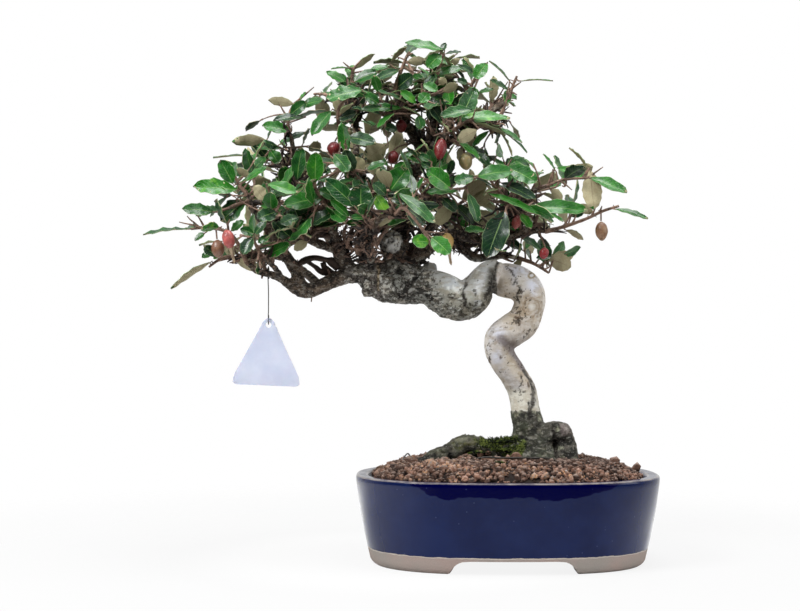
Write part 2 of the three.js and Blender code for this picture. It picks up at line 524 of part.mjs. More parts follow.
// Inset from the rim's outline and height, up the outside and down the inside.
const OUTSIDE = [[10.9, 0], [8.9, 2], [5.5, 17], [2.3, 34], [0.2, 50], [0.3, 52.8],
  [1.6, POT_HEIGHT]];
const INSIDE = [[18.5, FLOOR_Z], [14.6, FLOOR_Z + 4], [9, 50], [RIM_WIDTH - 0.4, 53.2],
  [RIM_WIDTH - 1.4, POT_HEIGHT + 0.6]];

function lofted(profile, inset = 0) {
  return rings(profile.map(([t, z]) => ovalRing(HALF_LENGTH - t - inset, HALF_WIDTH - t - inset, z)));
}

function profilePrism(outline, depth, y) {
  const shape = new THREE.Shape(outline.map(([x, z]) => new THREE.Vector2(x, z)));
  const geometry = new THREE.ExtrudeGeometry(shape, { depth, bevelEnabled: false });
  geometry.rotateX(Math.PI / 2);
  geometry.translate(0, y, 0);
  return geometrySolid(geometry);
}

function cylinderSolid(radius, height, x, y, z, steps = 20) {
  const geometry = new THREE.CylinderGeometry(radius, radius, height, steps);
  geometry.rotateX(Math.PI / 2);
  geometry.translate(x, y, z + height / 2);
  return geometrySolid(geometry);
}

function boxSolid(width, depth, height, x, y, z) {
  const geometry = new THREE.BoxGeometry(width, depth, height);
  geometry.translate(x, y, z + height / 2);
  return geometrySolid(geometry);
}

function makePot() {
  let pot = toSolid(lofted(OUTSIDE)).subtract(toSolid(lofted(INSIDE)));
  const recess = [[11.3 + FOOT_WALL, -1], [9.8 + FOOT_WALL, FOOT_HEIGHT]];
  pot = pot.subtract(toSolid(lofted(recess)));
  const half = [[24, 8.1], [30.4, 7.6], [33.6, 5.9], [35.4, 3.8], [36.4, 1.6], [38, 0], [39.5, -1]];
  const cut = [...half.map(([x, z]) => [-x, z]).reverse(), ...half];
  pot = pot.subtract(profilePrism(cut, 40, -30)).subtract(profilePrism(cut, 40, 70));
  for (const x of [-DRAIN_X, DRAIN_X]) {
    pot = pot.subtract(cylinderSolid(DRAIN_RADIUS, 12, x, 0, FOOT_HEIGHT - 3));
  }
  return joined([pot], [0.05, 0.03]);
}

function makeScreen(x) {
  const z = FLOOR_Z + GAP;
  let screen = boxSolid(SCREEN_SIZE, SCREEN_SIZE, SCREEN_THICKNESS, x, 0, z);
  for (const i of [-1, 0, 1]) {
    for (const j of [-1, 0, 1]) {
      const hole = [SCREEN_HOLE, SCREEN_HOLE, SCREEN_THICKNESS + 2];
      screen = screen.subtract(boxSolid(...hole, x + i * SCREEN_PITCH, j * SCREEN_PITCH, z - 1));
    }
  }
  return screen;
}

// The soil's top: a level mound that falls away near the rim, with grains standing up.
function soilHeight(share) {
  return SOIL_EDGE + SOIL_MOUND * (1 - share ** 5);
}

function makeSoil(woodHole, anchorHole, pinHole) {
  const body = INSIDE.slice(0, 2).map(([t, z]) => [t + GAP, z + GAP]);
  const edge = [9 + GAP, 49.5];
  const loops = [...body, edge].map(([t, z]) => ovalRing(HALF_LENGTH - t, HALF_WIDTH - t, z));
  const draw = draws(5);
  const [halfX, halfY] = [HALF_LENGTH - edge[0], HALF_WIDTH - edge[0]];
  for (const share of [0.985, 0.92, 0.82, 0.68, 0.52, 0.34, 0.16]) {
    const ring = ovalRing(halfX * share, halfY * share, soilHeight(share));
    const lift = share > 0.98 ? SOIL_GRAIN * 0.5 : SOIL_GRAIN;
    loops.push(ring.map((p) => p.setZ(p.z + lift * (2 * draw() - 1))));
  }
  let soil = toSolid(rings(loops)).subtract(woodHole).subtract(anchorHole).subtract(pinHole);
  for (const x of [-DRAIN_X, DRAIN_X]) {
    const size = SCREEN_SIZE + 2 * GAP;
    soil = soil.subtract(boxSolid(size, size, SCREEN_THICKNESS + 3 * GAP, x, 0, FLOOR_Z));
  }
  return joined([soil]);
}

// Obstacles that twigs and leaves keep clear of: triangles and edges with the owner's name.
const obstacles = [];

function triangles({ points, faces }) {
  return faces.map((face) => face.map((i) => points[i]));
}

function edgesOf({ points, faces }) {
  const edges = [];
  for (const face of faces) {
    for (let k = 0; k < 3; k++) {
      const [a, b] = [face[k], face[(k + 1) % 3]];
      if (a < b) edges.push([points[a], points[b]]);
    }
  }
  return edges;
}

function boxOf(points) {
  return new THREE.Box3().setFromPoints(points);
}

function addObstacle(owner, kind, shape) {
  const box = boxOf(shape.points);
  obstacles.push({ owner, kind, box, triangles: triangles(shape), edges: edgesOf(shape) });
}

const edgeA = vec(0, 0, 0);
const edgeB = vec(0, 0, 0);
const edgeP = vec(0, 0, 0);
const edgeQ = vec(0, 0, 0);
const edgeT = vec(0, 0, 0);

// Whether the segment from p to q passes through the triangle.
function pierces([p, q], [a, b, c]) {
  edgeA.subVectors(b, a);
  edgeB.subVectors(c, a);
  edgeP.subVectors(q, p);
  edgeQ.crossVectors(edgeP, edgeB);
  const scale = edgeA.dot(edgeQ);
  if (Math.abs(scale) < 1e-12) return false;
  edgeT.subVectors(p, a);
  const u = edgeT.dot(edgeQ) / scale;
  if (u < 0 || u > 1) return false;
  edgeT.cross(edgeA);
  const v = edgeP.dot(edgeT) / scale;
  if (v < 0 || u + v > 1) return false;
  const t = edgeB.dot(edgeT) / scale;
  return t >= 0 && t <= 1;
}

function crosses(shape, skip) {
  const box = boxOf(shape.points);
  const near = obstacles.filter((o) => !skip(o) && o.box.intersectsBox(box));
  if (near.length === 0) return false;
  const faces = triangles(shape);
  const edges = edgesOf(shape);
  return near.some((o) => o.triangles.some((t) => edges.some((e) => pierces(e, t)))
    || o.edges.some((e) => faces.some((t) => pierces(e, t))));
}

// A twig goes on from its branch's end, 0.3 mm clear of it, and bends in depth where it must.
function growTwig(name, branch, rows) {
  const end = branch[branch.length - 1];
  const before = branch[branch.length - 2].point;
  const direction = end.point.clone().sub(before).normalize();
  const start = end.point.clone().addScaledVector(direction, 0.3);
  let kept = null;
  for (const shift of [0, -5, 5, -10, 10, -15, 15]) {
    const path = [{ point: start, radius: end.radius * 0.95 },
      { point: start.clone().addScaledVector(direction, 1.5), radius: end.radius * 0.9 }];
    rows.forEach(([u, v, depth], i) => {
      const share = (i + 1) / rows.length;
      const radius = THREE.MathUtils.lerp(end.radius * 0.85, TWIG_END, share);
      path.push({ point: place(u, v, depth + shift * share), radius });
    });
    kept = kept ?? path;
    if (!crosses(tube(path.slice(1), TWIG_SIDES, { grow: CLEARANCE }), (o) => o.owner === name)) {
      return path;
    }
  }
  return kept;
}

// The twig's point nearest to a place in the front view, spread from the roots already there
// and rather behind the leaf that points ahead.
function nearestOnTwig(path, u, v, taken = [], ahead = [u, v]) {
  let best = null;
  for (let i = 1; i < path.length - 1; i++) {
    for (let k = 0; k <= 8; k++) {
      const point = path[i].point.clone().lerp(path[i + 1].point, k / 8);
      const seen = place(u, v, point.y);
      const crowd = taken.reduce((sum, t) => sum + Math.max(0, ROOT_SPREAD - t.distanceTo(point)), 0);
      const [dx, dz] = [seen.x - point.x, seen.z - point.z];
      const back = dx * (ahead[0] - u) - dz * (ahead[1] - v);
      const fold = back < 0 ? -back / (1 + Math.hypot(ahead[0] - u, ahead[1] - v)) : 0;
      const away = Math.hypot(dx, dz) + 6 * crowd + fold;
      if (best === null || away < best.away) best = { away, point };
    }
  }
  return best.point;
}

// A leaf: a stalk from inside the twig, and a folded, arched blade with waved edges. Both
// faces are split alike. Stations are shares of the length and of the width.
const LONG_STATIONS = [[0.2, 0.78], [0.5, 1], [0.8, 0.72]];
const SHORT_STATIONS = [[0.3, 0.9], [0.7, 0.84]];
const LONG_LEAF = 25;
const LONG_STALK = 5.5;

function leafShape({ root, base, tip, normal, width }, grow = 0) {
  const axis = tip.clone().sub(base);
  const length = axis.length();
  axis.normalize();
  const side = normal.clone().cross(axis).normalize();
  const face = axis.clone().cross(side);
  const points = [];
  const faces = [];
  const blade = [];
  const run = base.clone().sub(root);
  const stalkLength = run.length();
  if (stalkLength < 0.5) run.copy(axis);
  run.normalize();
  const small = STALK + grow;
  const triangle = (centre, direction) => {
    const turn = new THREE.Quaternion().setFromUnitVectors(axis, direction);
    const across = side.clone().applyQuaternion(turn);
    const up = face.clone().applyQuaternion(turn);
    const first = points.length;
    points.push(centre.clone().addScaledVector(across, -small).addScaledVector(up, small * 0.5),
      centre.clone().addScaledVector(across, small).addScaledVector(up, small * 0.5),
      centre.clone().addScaledVector(up, -small));
    return first;
  };
  let from = triangle(root, run);
  faces.push([from, from + 1, from + 2]);
  if (stalkLength > LONG_STALK || (stalkLength > 1.5 && run.dot(axis) < 0.3)) {
    const next = triangle(base, run.clone().add(axis).addScaledVector(axis, 0.1).normalize());
    for (let k = 0; k < 3; k++) {
      const m = (k + 1) % 3;
      faces.push([from + k, next + k, next + m], [from + k, next + m, from + m]);
    }
    from = next;
  }
  const stations = length > LONG_LEAF ? LONG_STATIONS : SHORT_STATIONS;
  const half = width / 2 + grow;
  const thick = BLADE / 2 + grow;
  stations.forEach(([share, wide], i) => {
    const arch = 0.28 * length * share * (1 - share) - 0.03 * length;
    const wave = (i % 2 === 0 ? 1 : -1) * 0.05 * width;
    const middle = base.clone().addScaledVector(axis, share * length).addScaledVector(face, arch);
    const first = points.length;
    const edge = (sign) => middle.clone().addScaledVector(side, sign * half * wide)
      .addScaledVector(face, 0.1 * width + sign * wave);
    const [left, right] = [edge(-1), edge(1)];
    for (const p of [left, middle, right]) points.push(p.clone().addScaledVector(face, thick));
    for (const p of [right, middle, left]) points.push(p.clone().addScaledVector(face, -thick));
    if (i === 0) {
      const [a, b, c] = [from, from + 1, from + 2];
      const [lt, mt, rt, rb, mb, lb] = [0, 1, 2, 3, 4, 5].map((k) => first + k);
      faces.push([a, lt, mt], [a, mt, b], [b, mt, rt], [b, rt, rb], [b, rb, mb], [b, mb, c],
        [c, mb, lb], [c, lb, a], [a, lb, lt]);
    } else {
      const last = first - 6;
      const quads = [[0, 1], [1, 2], [2, 3], [3, 4], [4, 5], [5, 0]];
      for (const [p, q] of quads) {
        const lower = p === 3 || p === 4;
        const [s, e] = lower ? [q, p] : [p, q];
        const pair = [[last + s, first + s, first + e], [last + s, first + e, last + e]];
        for (const [x, y, z] of pair) faces.push(lower ? [x, z, y] : [x, y, z]);
      }
    }
    blade.push(first);
  });
  const end = points.length;
  points.push(tip.clone().addScaledVector(axis, grow));
  const last = end - 6;
  for (let k = 0; k < 6; k++) faces.push([last + k, end, last + (k + 1) % 6]);
  const sound = facingOut(points, faces);
  const bladeFaces = sound.filter((f) => f.every((i) => i >= blade[0]));
  return { points, faces: sound, blade: { points, faces: bladeFaces } };
}

// A leaf read from the front view. It leans in depth by the first share that leaves it clear,
// which doesn't change how it looks from the front.
function readLeaf(name, twig, row, seed) {
  const [bu, bv, tu, tv, width, roll] = row;
  const draw = draws(seed);
  const root = nearestOnTwig(twig, bu, bv, roots[name], [tu, tv]);
  const lean = 0.16 * (draw() - 0.5);
  let spare = null;
  for (const extraRoll of ROLL_TRIES) {
    for (const share of LEAN_TRIES) {
      const base = place(bu, bv, root.y - 1);
      const flat = place(tu, tv, root.y).distanceTo(place(bu, bv, root.y));
      const tip = place(tu, tv, root.y + (share + lean) * flat);
      const axis = tip.clone().sub(base).normalize();
      const front = vec(0, -1, 0);
      front.addScaledVector(axis, -front.dot(axis)).normalize();
      const over = axis.clone().cross(front);
      if (over.z < 0) over.negate();
      const angle = THREE.MathUtils.degToRad(roll + extraRoll);
      const normal = front.multiplyScalar(Math.cos(angle)).addScaledVector(over, Math.sin(angle));
      const leaf = { root, base, tip, normal, width };
      const fit = leafFit(name, leaf);
      if (fit === 2) return leaf;
      if (fit === 1) spare = spare ?? leaf;
    }
  }
  return spare;
}

// 0 where a leaf runs into another piece or blade, 1 where it only runs into a stalk or twig
// of its own spray, and 2 where it's clear.
function leafFit(name, leaf) {
  const shape = leafShape(leaf, CLEARANCE);
  if (crosses(shape, (o) => o.owner === name)) return 0;
  if (crosses(shape.blade, (o) => o.owner !== name || o.kind !== "blade")) return 0;
  if (crosses(shape.blade, (o) => o.owner !== name || o.kind === "blade")) return 1;
  return crosses(shape, (o) => o.owner !== name || o.kind !== "blade") ? 1 : 2;
}

function inCrown(point) {
  const scale = STEP * (1 + point.y / VIEW_DISTANCE);
  const u = VIEW_U + (point.x - (VIEW_U - POT_U) * STEP) / scale;
  const v = VIEW_V - (point.z - VIEW_HEIGHT) / scale;
  let inside = false;
  for (let i = 0, j = CROWN.length - 1; i < CROWN.length; j = i++) {
    const [ui, vi] = CROWN[i];
    const [uj, vj] = CROWN[j];
    if ((vi > v) !== (vj > v) && u < ((uj - ui) * (v - vi)) / (vj - vi) + ui) inside = !inside;
  }
  return inside;
}

// A leaf placed by the rule: at the golden angle round the twig, spreading, facing up and out.
function fillLeaf(name, twig, index, count, seed) {
  for (let attempt = 0; attempt < FILL_TRIES; attempt++) {
    const draw = draws(seed * 31 + attempt);
    const along = (0.25 + 0.75 * ((index + draw()) / count)) * (twig.length - 2) + 1;
    const i = Math.min(Math.floor(along), twig.length - 2);
    const root = twig[i].point.clone().lerp(twig[i + 1].point, along - i);
    const run = twig[i + 1].point.clone().sub(twig[i].point).normalize();
    const level = run.clone().cross(vec(0, 0, 1)).normalize();
    const above = level.clone().cross(run);
    const angle = index * GOLDEN_ANGLE + attempt * 0.9 + draw();
    const out = run.clone().multiplyScalar(0.35 + 0.5 * draw())
      .addScaledVector(level, Math.cos(angle)).addScaledVector(above, Math.sin(angle)).normalize();
    const length = 16 + 14 * draw() - 0.5 * attempt;
    const base = root.clone().addScaledVector(out, 3);
    const tip = base.clone().addScaledVector(out, length);
    tip.z -= 0.12 * length;
    const normal = root.clone().sub(CROWN_CENTRE).normalize().multiplyScalar(0.6)
      .add(vec(0.4 * draw() - 0.2, 0.4 * draw() - 0.2, 0.6));
    const axis = tip.clone().sub(base).normalize();
    normal.addScaledVector(axis, -normal.dot(axis));
    if (normal.length() < 0.15) continue;
    normal.normalize();
    const leaf = { root, base, tip, normal, width: 0.36 * length + 0.8 };
    if (inCrown(tip) && inCrown(root) && leafFit(name, leaf) === 2) return leaf;
  }
  return null;
}

function berryShape(row, grow = 0) {
  const top = place(...row.stalk[row.stalk.length - 1]);
  const bottom = place(...row.end);
  const axis = bottom.clone().sub(top).normalize();
  top.addScaledVector(axis, 0.6 - grow);
  const length = bottom.distanceTo(top);
  const stations = [[0, 0.3], [0.22, 0.88], [0.75, 0.9], [1, 0.35]];
  const path = stations.map(([share, wide]) => ({
    point: top.clone().addScaledVector(axis, share * length), radius: row.radius * wide }));
  if (row.tail > 0) {
    path[path.length - 1].radius = 1.3;
    path.push({ point: bottom.clone().addScaledVector(axis, row.tail), radius: 0.8 });
  }
  return tube(path, BERRY_SIDES, { grow });
}

function stalkShape(row, grow = 0) {
  const path = row.stalk.map(([u, v, depth]) => ({ point: place(u, v, depth), radius: 0.55 }));
  return tube(path, 3, { grow });
}

function makeTag() {
  const [halfBase, r] = [TAG_WIDTH / 2, TAG_CORNER];
  const shape = new THREE.Shape();
  const corners = [[-halfBase, -TAG_HEIGHT], [halfBase, -TAG_HEIGHT], [0, 0]];
  const inner = corners.map(([x, y], i) => {
    const slope = [[1.62, 1], [-1.62, 1], [0, -1.62]][i];
    return [x + slope[0] * r * 1.05, y + slope[1] * r];
  });
  const starts = [[Math.PI - 0.49, 1.5 * Math.PI], [1.5 * Math.PI, 2 * Math.PI + 0.49],
    [0.49, Math.PI - 0.49]];
  inner.forEach(([x, y], i) => {
    for (let k = 0; k <= 5; k++) {
      const angle = starts[i][0] + ((starts[i][1] - starts[i][0]) * k) / 5;
      const point = [x + r * Math.cos(angle), y + r * Math.sin(angle)];
      if (i === 0 && k === 0) shape.moveTo(...point);
      else shape.lineTo(...point);
    }
  });
  const hole = new THREE.Path();
  hole.absarc(0, -6, TAG_HOLE, 0, 2 * Math.PI, true);
  shape.holes.push(hole);
  const settings = { depth: TAG_THICKNESS, bevelEnabled: false, curveSegments: 8 };
  const geometry = new THREE.ExtrudeGeometry(shape, settings);
  geometry.rotateX(Math.PI / 2);
  geometry.translate(0, TAG_THICKNESS / 2, 6);
  geometry.rotateY(THREE.MathUtils.degToRad(TAG_TILT));
  geometry.translate(0, 0, -6);
  const top = place(...TAG_TOP);
  geometry.translate(top.x, top.y, top.z);
  return geometrySolid(geometry);
}

// The tag's wire: a hook round the branch, a straight drop, and an eye through the hole.
function makeTagWire() {
  const hang = place(...TAG_HANG);
  const hole = place(...TAG_TOP).z - 6;
  const reach = 3.1 + GAP + 0.35 + TAG_WIRE;
  const rows = [-50, -8, 34, 76, 118, 160, 200].map((degrees) => {
    const angle = THREE.MathUtils.degToRad(degrees);
    return [hang.x, hang.y + reach * Math.cos(angle), hang.z + reach * Math.sin(angle)];
  });
  rows.push([hang.x, hang.y - 2, hang.z - reach - 2], [hang.x, hang.y, hang.z - 12],
    [hang.x, hang.y - 0.3, hole + 9], [hang.x, hang.y - 1.3, hole + 6], [hang.x, hang.y - 1.3, hole + 2],
    [hang.x, hang.y, hole + 0.3], [hang.x, hang.y + 1.3, hole + 2], [hang.x, hang.y + 1.3, hole + 6]);
  return wireSolid(rows, TAG_WIRE, 5, 0, false);
}

// The wood, with the stalks of the berries that it bears.
const branchPaths = {};
for (const [name, rows] of Object.entries(BRANCHES)) branchPaths[name] = readPath(rows);
Object.values(branchPaths).forEach((path) => {
  path[0].radius *= BURIED_END;
});
const branchSides = (radius) => (radius > 5.5 ? 6 : radius > 2.9 ? 5 : 4);
const trunkPaths = [smooth(readPath(TRUNK_LOW), 1), smooth(readPath(TRUNK_HIGH), 1)];
const rootPaths = ROOTS.map(readPath);
const woodShapes = [
  ...trunkPaths.map((path) => tube(path, TRUNK_SIDES, { bark: 0.03 })),
  ...TRUNK_STUBS.map((rows) => tube(readPath(rows), 5)),
  ...rootPaths.map((path) => tube(path, ROOT_SIDES, { bark: 0.04 })),
  ...Object.values(branchPaths).map((path) => tube(path, branchSides(path[0].radius))),
];
woodShapes.forEach((shape) => addObstacle("wood", "twig", shape));
const woodBerries = Object.values(BERRIES).filter((row) => row.bearer === "wood");
const woodStalks = woodBerries.map((row) => stalkShape(row));
woodStalks.forEach((shape) => addObstacle("wood", "twig", shape));
Object.entries(BERRIES).forEach(([name, row]) => addObstacle(`berry_${name}`, "berry", berryShape(row)));
const tagTop = place(...TAG_TOP);
const tagLine = [{ point: place(...TAG_HANG), radius: 4.4 }, { point: tagTop, radius: 1 }];
addObstacle("tag", "twig", tube(tagLine, 6));

// The twigs, then the leaves, which keep clear of all that is already there.
const twigs = {};
for (const [name, row] of Object.entries(SPRAYS)) {
  twigs[name] = growTwig(name, branchPaths[name], row.path);
  addObstacle(name, "twig", tube(twigs[name], TWIG_SIDES));
}
const sprayShapes = Object.fromEntries(Object.keys(SPRAYS).map((name) => [name, []]));
const roots = Object.fromEntries(Object.keys(SPRAYS).map((name) => [name, []]));
for (const [name, row] of Object.entries(SPRAYS)) {
  sprayShapes[name].push(tube(twigs[name], TWIG_SIDES));
  for (const berry of Object.values(BERRIES).filter((b) => b.bearer === name)) {
    sprayShapes[name].push(stalkShape(berry));
    addObstacle(name, "twig", stalkShape(berry));
  }
  for (const [bu, bv, tu, tv] of row.bare ?? []) {
    const root = nearestOnTwig(twigs[name], bu, bv);
    roots[name].push(root);
    const tip = place(tu, tv, root.y - 2);
    const spike = tube([{ point: root, radius: 0.8 }, { point: tip, radius: 0.35 }], 3);
    sprayShapes[name].push(spike);
    addObstacle(name, "twig", spike);
  }
}
function addLeaf(name, leaf) {
  if (leaf === null) return;
  roots[name].push(leaf.root);
  const shape = leafShape(leaf);
  sprayShapes[name].push(shape);
  const stalk = shape.faces.filter((f) => !shape.blade.faces.includes(f));
  addObstacle(name, "stalk", { points: shape.points, faces: stalk });
  addObstacle(name, "blade", shape.blade);
}
Object.entries(SPRAYS).forEach(([name, row], spray) => {
  row.leaves.forEach((leafRow, i) => {
    addLeaf(name, readLeaf(name, twigs[name], leafRow, spray * 100 + i));
  });
});
Object.entries(SPRAYS).forEach(([name, row], spray) => {
  for (let i = 0; i < row.fill; i++) {
    addLeaf(name, fillLeaf(name, twigs[name], i, row.fill, spray * 100 + 50 + i));
  }
});

const wood = joined([...woodShapes, ...woodStalks].map(toSolid));
const rootSpaces = rootPaths.map((path) => tube(path, ROOT_SIDES, { bark: 0.04, grow: GAP }));
const woodHole = wasm.Manifold.union(rootSpaces.map(toSolid));
const anchorHole = wireSolid(ANCHOR_LOOP, ANCHOR_RADIUS, 4, 0, true, 1.4 * GAP);
const pinLegs = [-64.8, -59.8].map((x) => cylinderSolid(PIN_RADIUS + 1.4 * GAP, 20, x, -2, 47.5, 6));
const pinHole = wasm.Manifold.union(pinLegs);

const COLOURS = {
  glaze: [0x27335c, 0.15, 0], soil: [0x6f5443, 0.95, 0], bark: [0x9a968c, 0.85, 0],
  leaf: [0x2f6320, 0.35, 0], berry: [0xa8353b, 0.5, 0], screen: [0x1c1c1c, 0.6, 0],
  wire: [0x3a3632, 0.45, 0.8], tag: [0xdfe6ef, 0.3, 0],
};
const tree = new THREE.Group();

function addPiece(name, solid, finish) {
  const [color, roughness, metalness] = COLOURS[finish];
  const material = new THREE.MeshStandardMaterial({ color, roughness, metalness, flatShading: true });
  const mesh = new THREE.Mesh(solidGeometry(solid), material);
  mesh.name = name;
  tree.add(mesh);
}

addPiece("pot", makePot(), "glaze");
addPiece("soil", makeSoil(woodHole, anchorHole, pinHole), "soil");
addPiece("wood", wood, "bark");
addPiece("drain_screen_left", makeScreen(-DRAIN_X), "screen");
addPiece("drain_screen_right", makeScreen(DRAIN_X), "screen");
addPiece("anchor_wire", wireSolid(ANCHOR_LOOP, ANCHOR_RADIUS, 4, 0, true), "wire");
addPiece("wire_pin", wireSolid(PIN_PATH, PIN_RADIUS, 5, 0, false), "wire");
addPiece("tag", makeTag(), "tag");
addPiece("tag_wire", makeTagWire(), "wire");
for (const [name, shapes] of Object.entries(sprayShapes)) {
  addPiece(`spray_${name}`, joined(shapes.map(toSolid)), "leaf");
}
for (const [name, row] of Object.entries(BERRIES)) {
  addPiece(`berry_${name}`, toSolid(berryShape(row)), "berry");
}

// The origin is under the middle of the whole tree, on the ground.
const bounds = new THREE.Box3().setFromObject(tree);
tree.position.set(-(bounds.min.x + bounds.max.x) / 2, -(bounds.min.y + bounds.max.y) / 2, -bounds.min.z);
const bonsai = new THREE.Group();
bonsai.add(tree);

export default bonsai;
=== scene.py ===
"""Looks for the thorny olive bonsai: pot, soil, wood, leaves, berries, wires and tag, on the CAD frame."""

import math

import bmesh
import bpy
import numpy as np
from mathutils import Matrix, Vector


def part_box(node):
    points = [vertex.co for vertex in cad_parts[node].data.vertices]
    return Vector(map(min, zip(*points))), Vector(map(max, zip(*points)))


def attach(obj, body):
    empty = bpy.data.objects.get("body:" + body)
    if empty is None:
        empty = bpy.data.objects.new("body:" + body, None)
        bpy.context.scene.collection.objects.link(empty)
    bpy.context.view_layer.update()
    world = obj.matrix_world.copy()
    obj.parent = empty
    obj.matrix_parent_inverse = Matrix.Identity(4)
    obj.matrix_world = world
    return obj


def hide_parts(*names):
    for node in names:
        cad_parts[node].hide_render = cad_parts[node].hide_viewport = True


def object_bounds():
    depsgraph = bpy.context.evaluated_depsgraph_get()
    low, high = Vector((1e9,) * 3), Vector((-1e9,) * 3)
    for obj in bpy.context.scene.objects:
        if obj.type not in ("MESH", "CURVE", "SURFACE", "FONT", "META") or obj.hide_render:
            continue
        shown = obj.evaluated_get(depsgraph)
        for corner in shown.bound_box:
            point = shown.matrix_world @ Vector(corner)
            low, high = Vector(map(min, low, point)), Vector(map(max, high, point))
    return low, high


bl_info = {
    "name": "Thorny olive bonsai",
    "version": (1, 0, 0),
    "blender": (4, 5, 0),
    "location": "3D View > Sidebar > Bonsai",
    "description": "Dresses the thorny olive bonsai and its oval pot",
    "category": "Object",
}

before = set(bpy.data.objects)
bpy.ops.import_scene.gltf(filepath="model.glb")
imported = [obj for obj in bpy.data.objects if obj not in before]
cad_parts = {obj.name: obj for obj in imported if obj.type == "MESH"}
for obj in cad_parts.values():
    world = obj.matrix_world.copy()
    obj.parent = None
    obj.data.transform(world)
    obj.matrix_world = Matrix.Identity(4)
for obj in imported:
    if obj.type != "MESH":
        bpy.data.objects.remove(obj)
CAD_BOX = [list(corner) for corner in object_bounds()]
low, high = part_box("pot")
# The middle of the pot's foot, in millimetres. Shapes are worked out from there.
HOME = np.array([(low.x + high.x) * 500, (low.y + high.y) * 500, 0.0])

# The front view that the tree's places are read on, as in the part's source.
STEP = 0.62
VIEW_DISTANCE = 900.0
VIEW_HEIGHT = 136.3
VIEW_U = 400.0
VIEW_V = 340.0
POT_U = 506.5
PHOTO_WIDTH = 800
PHOTO_MIDDLE = 305.5

# Pot and soil sizes, in millimetres.
HALF_LENGTH = 93.3
HALF_WIDTH = 70.0
POT_HEIGHT = 54.0
FOOT_HEIGHT = 8.3
FLOOR_Z = 13.5
OVAL_POWER = 2.5
DRAIN_RADIUS = 9.0
DRAIN_X = 38.0
SOIL_EDGE = 52.0
SOIL_MOUND = 11.5
SOIL_INSET = 9.4
POT_SIDES = 320
SOIL_SIDES = 144
SOIL_GRAINS = 5400

# The tag's hole, in millimetres: its radius and how far its middle is below the tag's top corner.
TAG_HOLE = 1.7
TAG_HOLE_DROP = 6.0

# How the part places its twigs and leaves: the shifts, leans and rolls that it tries, in its order.
DEPTH_TRIES = [0, -5, 5, -10, 10, -15, 15]
LEAN_TRIES = [-0.25, 0.12, -0.5, 0.3, -0.75, 0.5, -1.0, 0.75]
ROLL_TRIES = [0, 18, -18, 36]
FILL_TRIES = 14
FILL_MISFIT = 0.45
ROOT_SPREAD = 1.8
TWIG_END = 0.75
GOLDEN_ANGLE = 2.39996

# What the looks add: the voxel and smoothing that melt the wood's tubes together, in metres and rounds,
# and how many dead twigs and spears of moss there are.
MELT_VOXEL = 0.00088
MELT_ROUNDS = 4
DEAD_TWIGS = 3000
MOSS_SPEARS = 3600


# The part's own tables of places, in the front view's u and v where no other unit is given.
# The crown's outline: u, v.
CROWN = [
  [150,235],[180,205],[194,180],[215,160],[232,135],[262,118],[270,100],[300,93],[326,85],[330,68],
  [350,62],[375,54],[402,42],[425,40],[462,52],[490,62],[512,78],[518,100],[510,122],[528,152],
  [548,154],[570,152],[600,170],[626,190],[640,216],[622,224],[600,238],[584,240],[570,266],[548,272],
  [520,266],[503,257],[470,256],[445,258],[430,250],[405,238],[375,233],[345,232],[310,240],[290,250],
  [262,274],[235,268],[212,260],[185,274],[172,284],[168,276],[198,250],
]

# The trunk, its stubs, the root base and the roots that show above the soil: u, v, depth, radius.
TRUNK_LOW = [
  [530,446,0,11.5],[528.5,428,0,9.8],[525.5,411,0,9],[524,400,1,9],[521,388,2,9.2],[513,374,0,8.9],
  [503,360,-3,8.6],[499,348,-5,8.8],[501,338,-5,9.6],[511,331,-3,10.3],[522,322,1,10.5],[528,310,3,10],
  [530,300,3,10.3],[526,289,3,10.6],[517,282.5,2,10.7],[507,280.5,2,10.6],[499,280,2,10],
  [494,280,1,8.6],[491.5,280,0,6],
]
TRUNK_HIGH = [
  [498,270,-2,5],[494,269.5,-5,6.6],[489,273,-6.5,8.2],[484.5,279,-6.5,9.2],[480,287,-6,10.4],
  [473,295.5,-6,11.5],[464,300,-6,12],[454,299,-6,12.3],[444,294,-5,12.4],[434,289,-3,11.6],
  [424,287,-2,11],[412,285,0,12],[398,284,0,12.5],[385,281,0,12],[374,277,0,10],[363,275,0,8],
  [357,275,0,6],
]
TRUNK_STUBS = [
  [[369,284,-4,5],[368,292,-5,3.2],[368,296,-5,2.4]],
  [[378,268,-3,3.4],[379.5,279,-13,1],[377.5,291,-14.5,0.9]],
  [[424,284,0,8],[430,268,4,4.4],[431,264,5,3.4]],
]
ROOTS = [
  [[529,425,0.5,9],[530.5,438,0,11.5],[532,447,0,14.5],[532,456,0,19],[533,468,0,19],[533,484,0,14]],
  [[540,441,-2,7.5],[551,433,-4,7],[561,432,-5,6.6],[565.5,441,-5,6.1],[566.5,452,-6,6.6],
    [568,466,-7,7],[570,480,-8,4.5]],
  [[508,456,-5,8],[492,452,-8,7],[479,447,-9,6.6],[468,443,-10,5.4],[457,447,-10,5.4],[448,454,-11,5],
    [438,461,-12,4],[426,468,-14,2.8]],
  [[522,452,-8,9],[519,462,-18,7],[513,476,-27,4.5]],
  [[542,450,8,8],[553,462,22,5],[561,476,32,3.2]],
  [[514,452,8,8],[495,462,22,5.4],[481,475,33,3.4]],
  [[545,455,-12,6],[548,469,-19,4.4],[552,482,-25,3]],
  [[452,450,-12,5],[440,455,-14,5],[430,459,-16,4.2],[420,464,-18,2.6]],
]

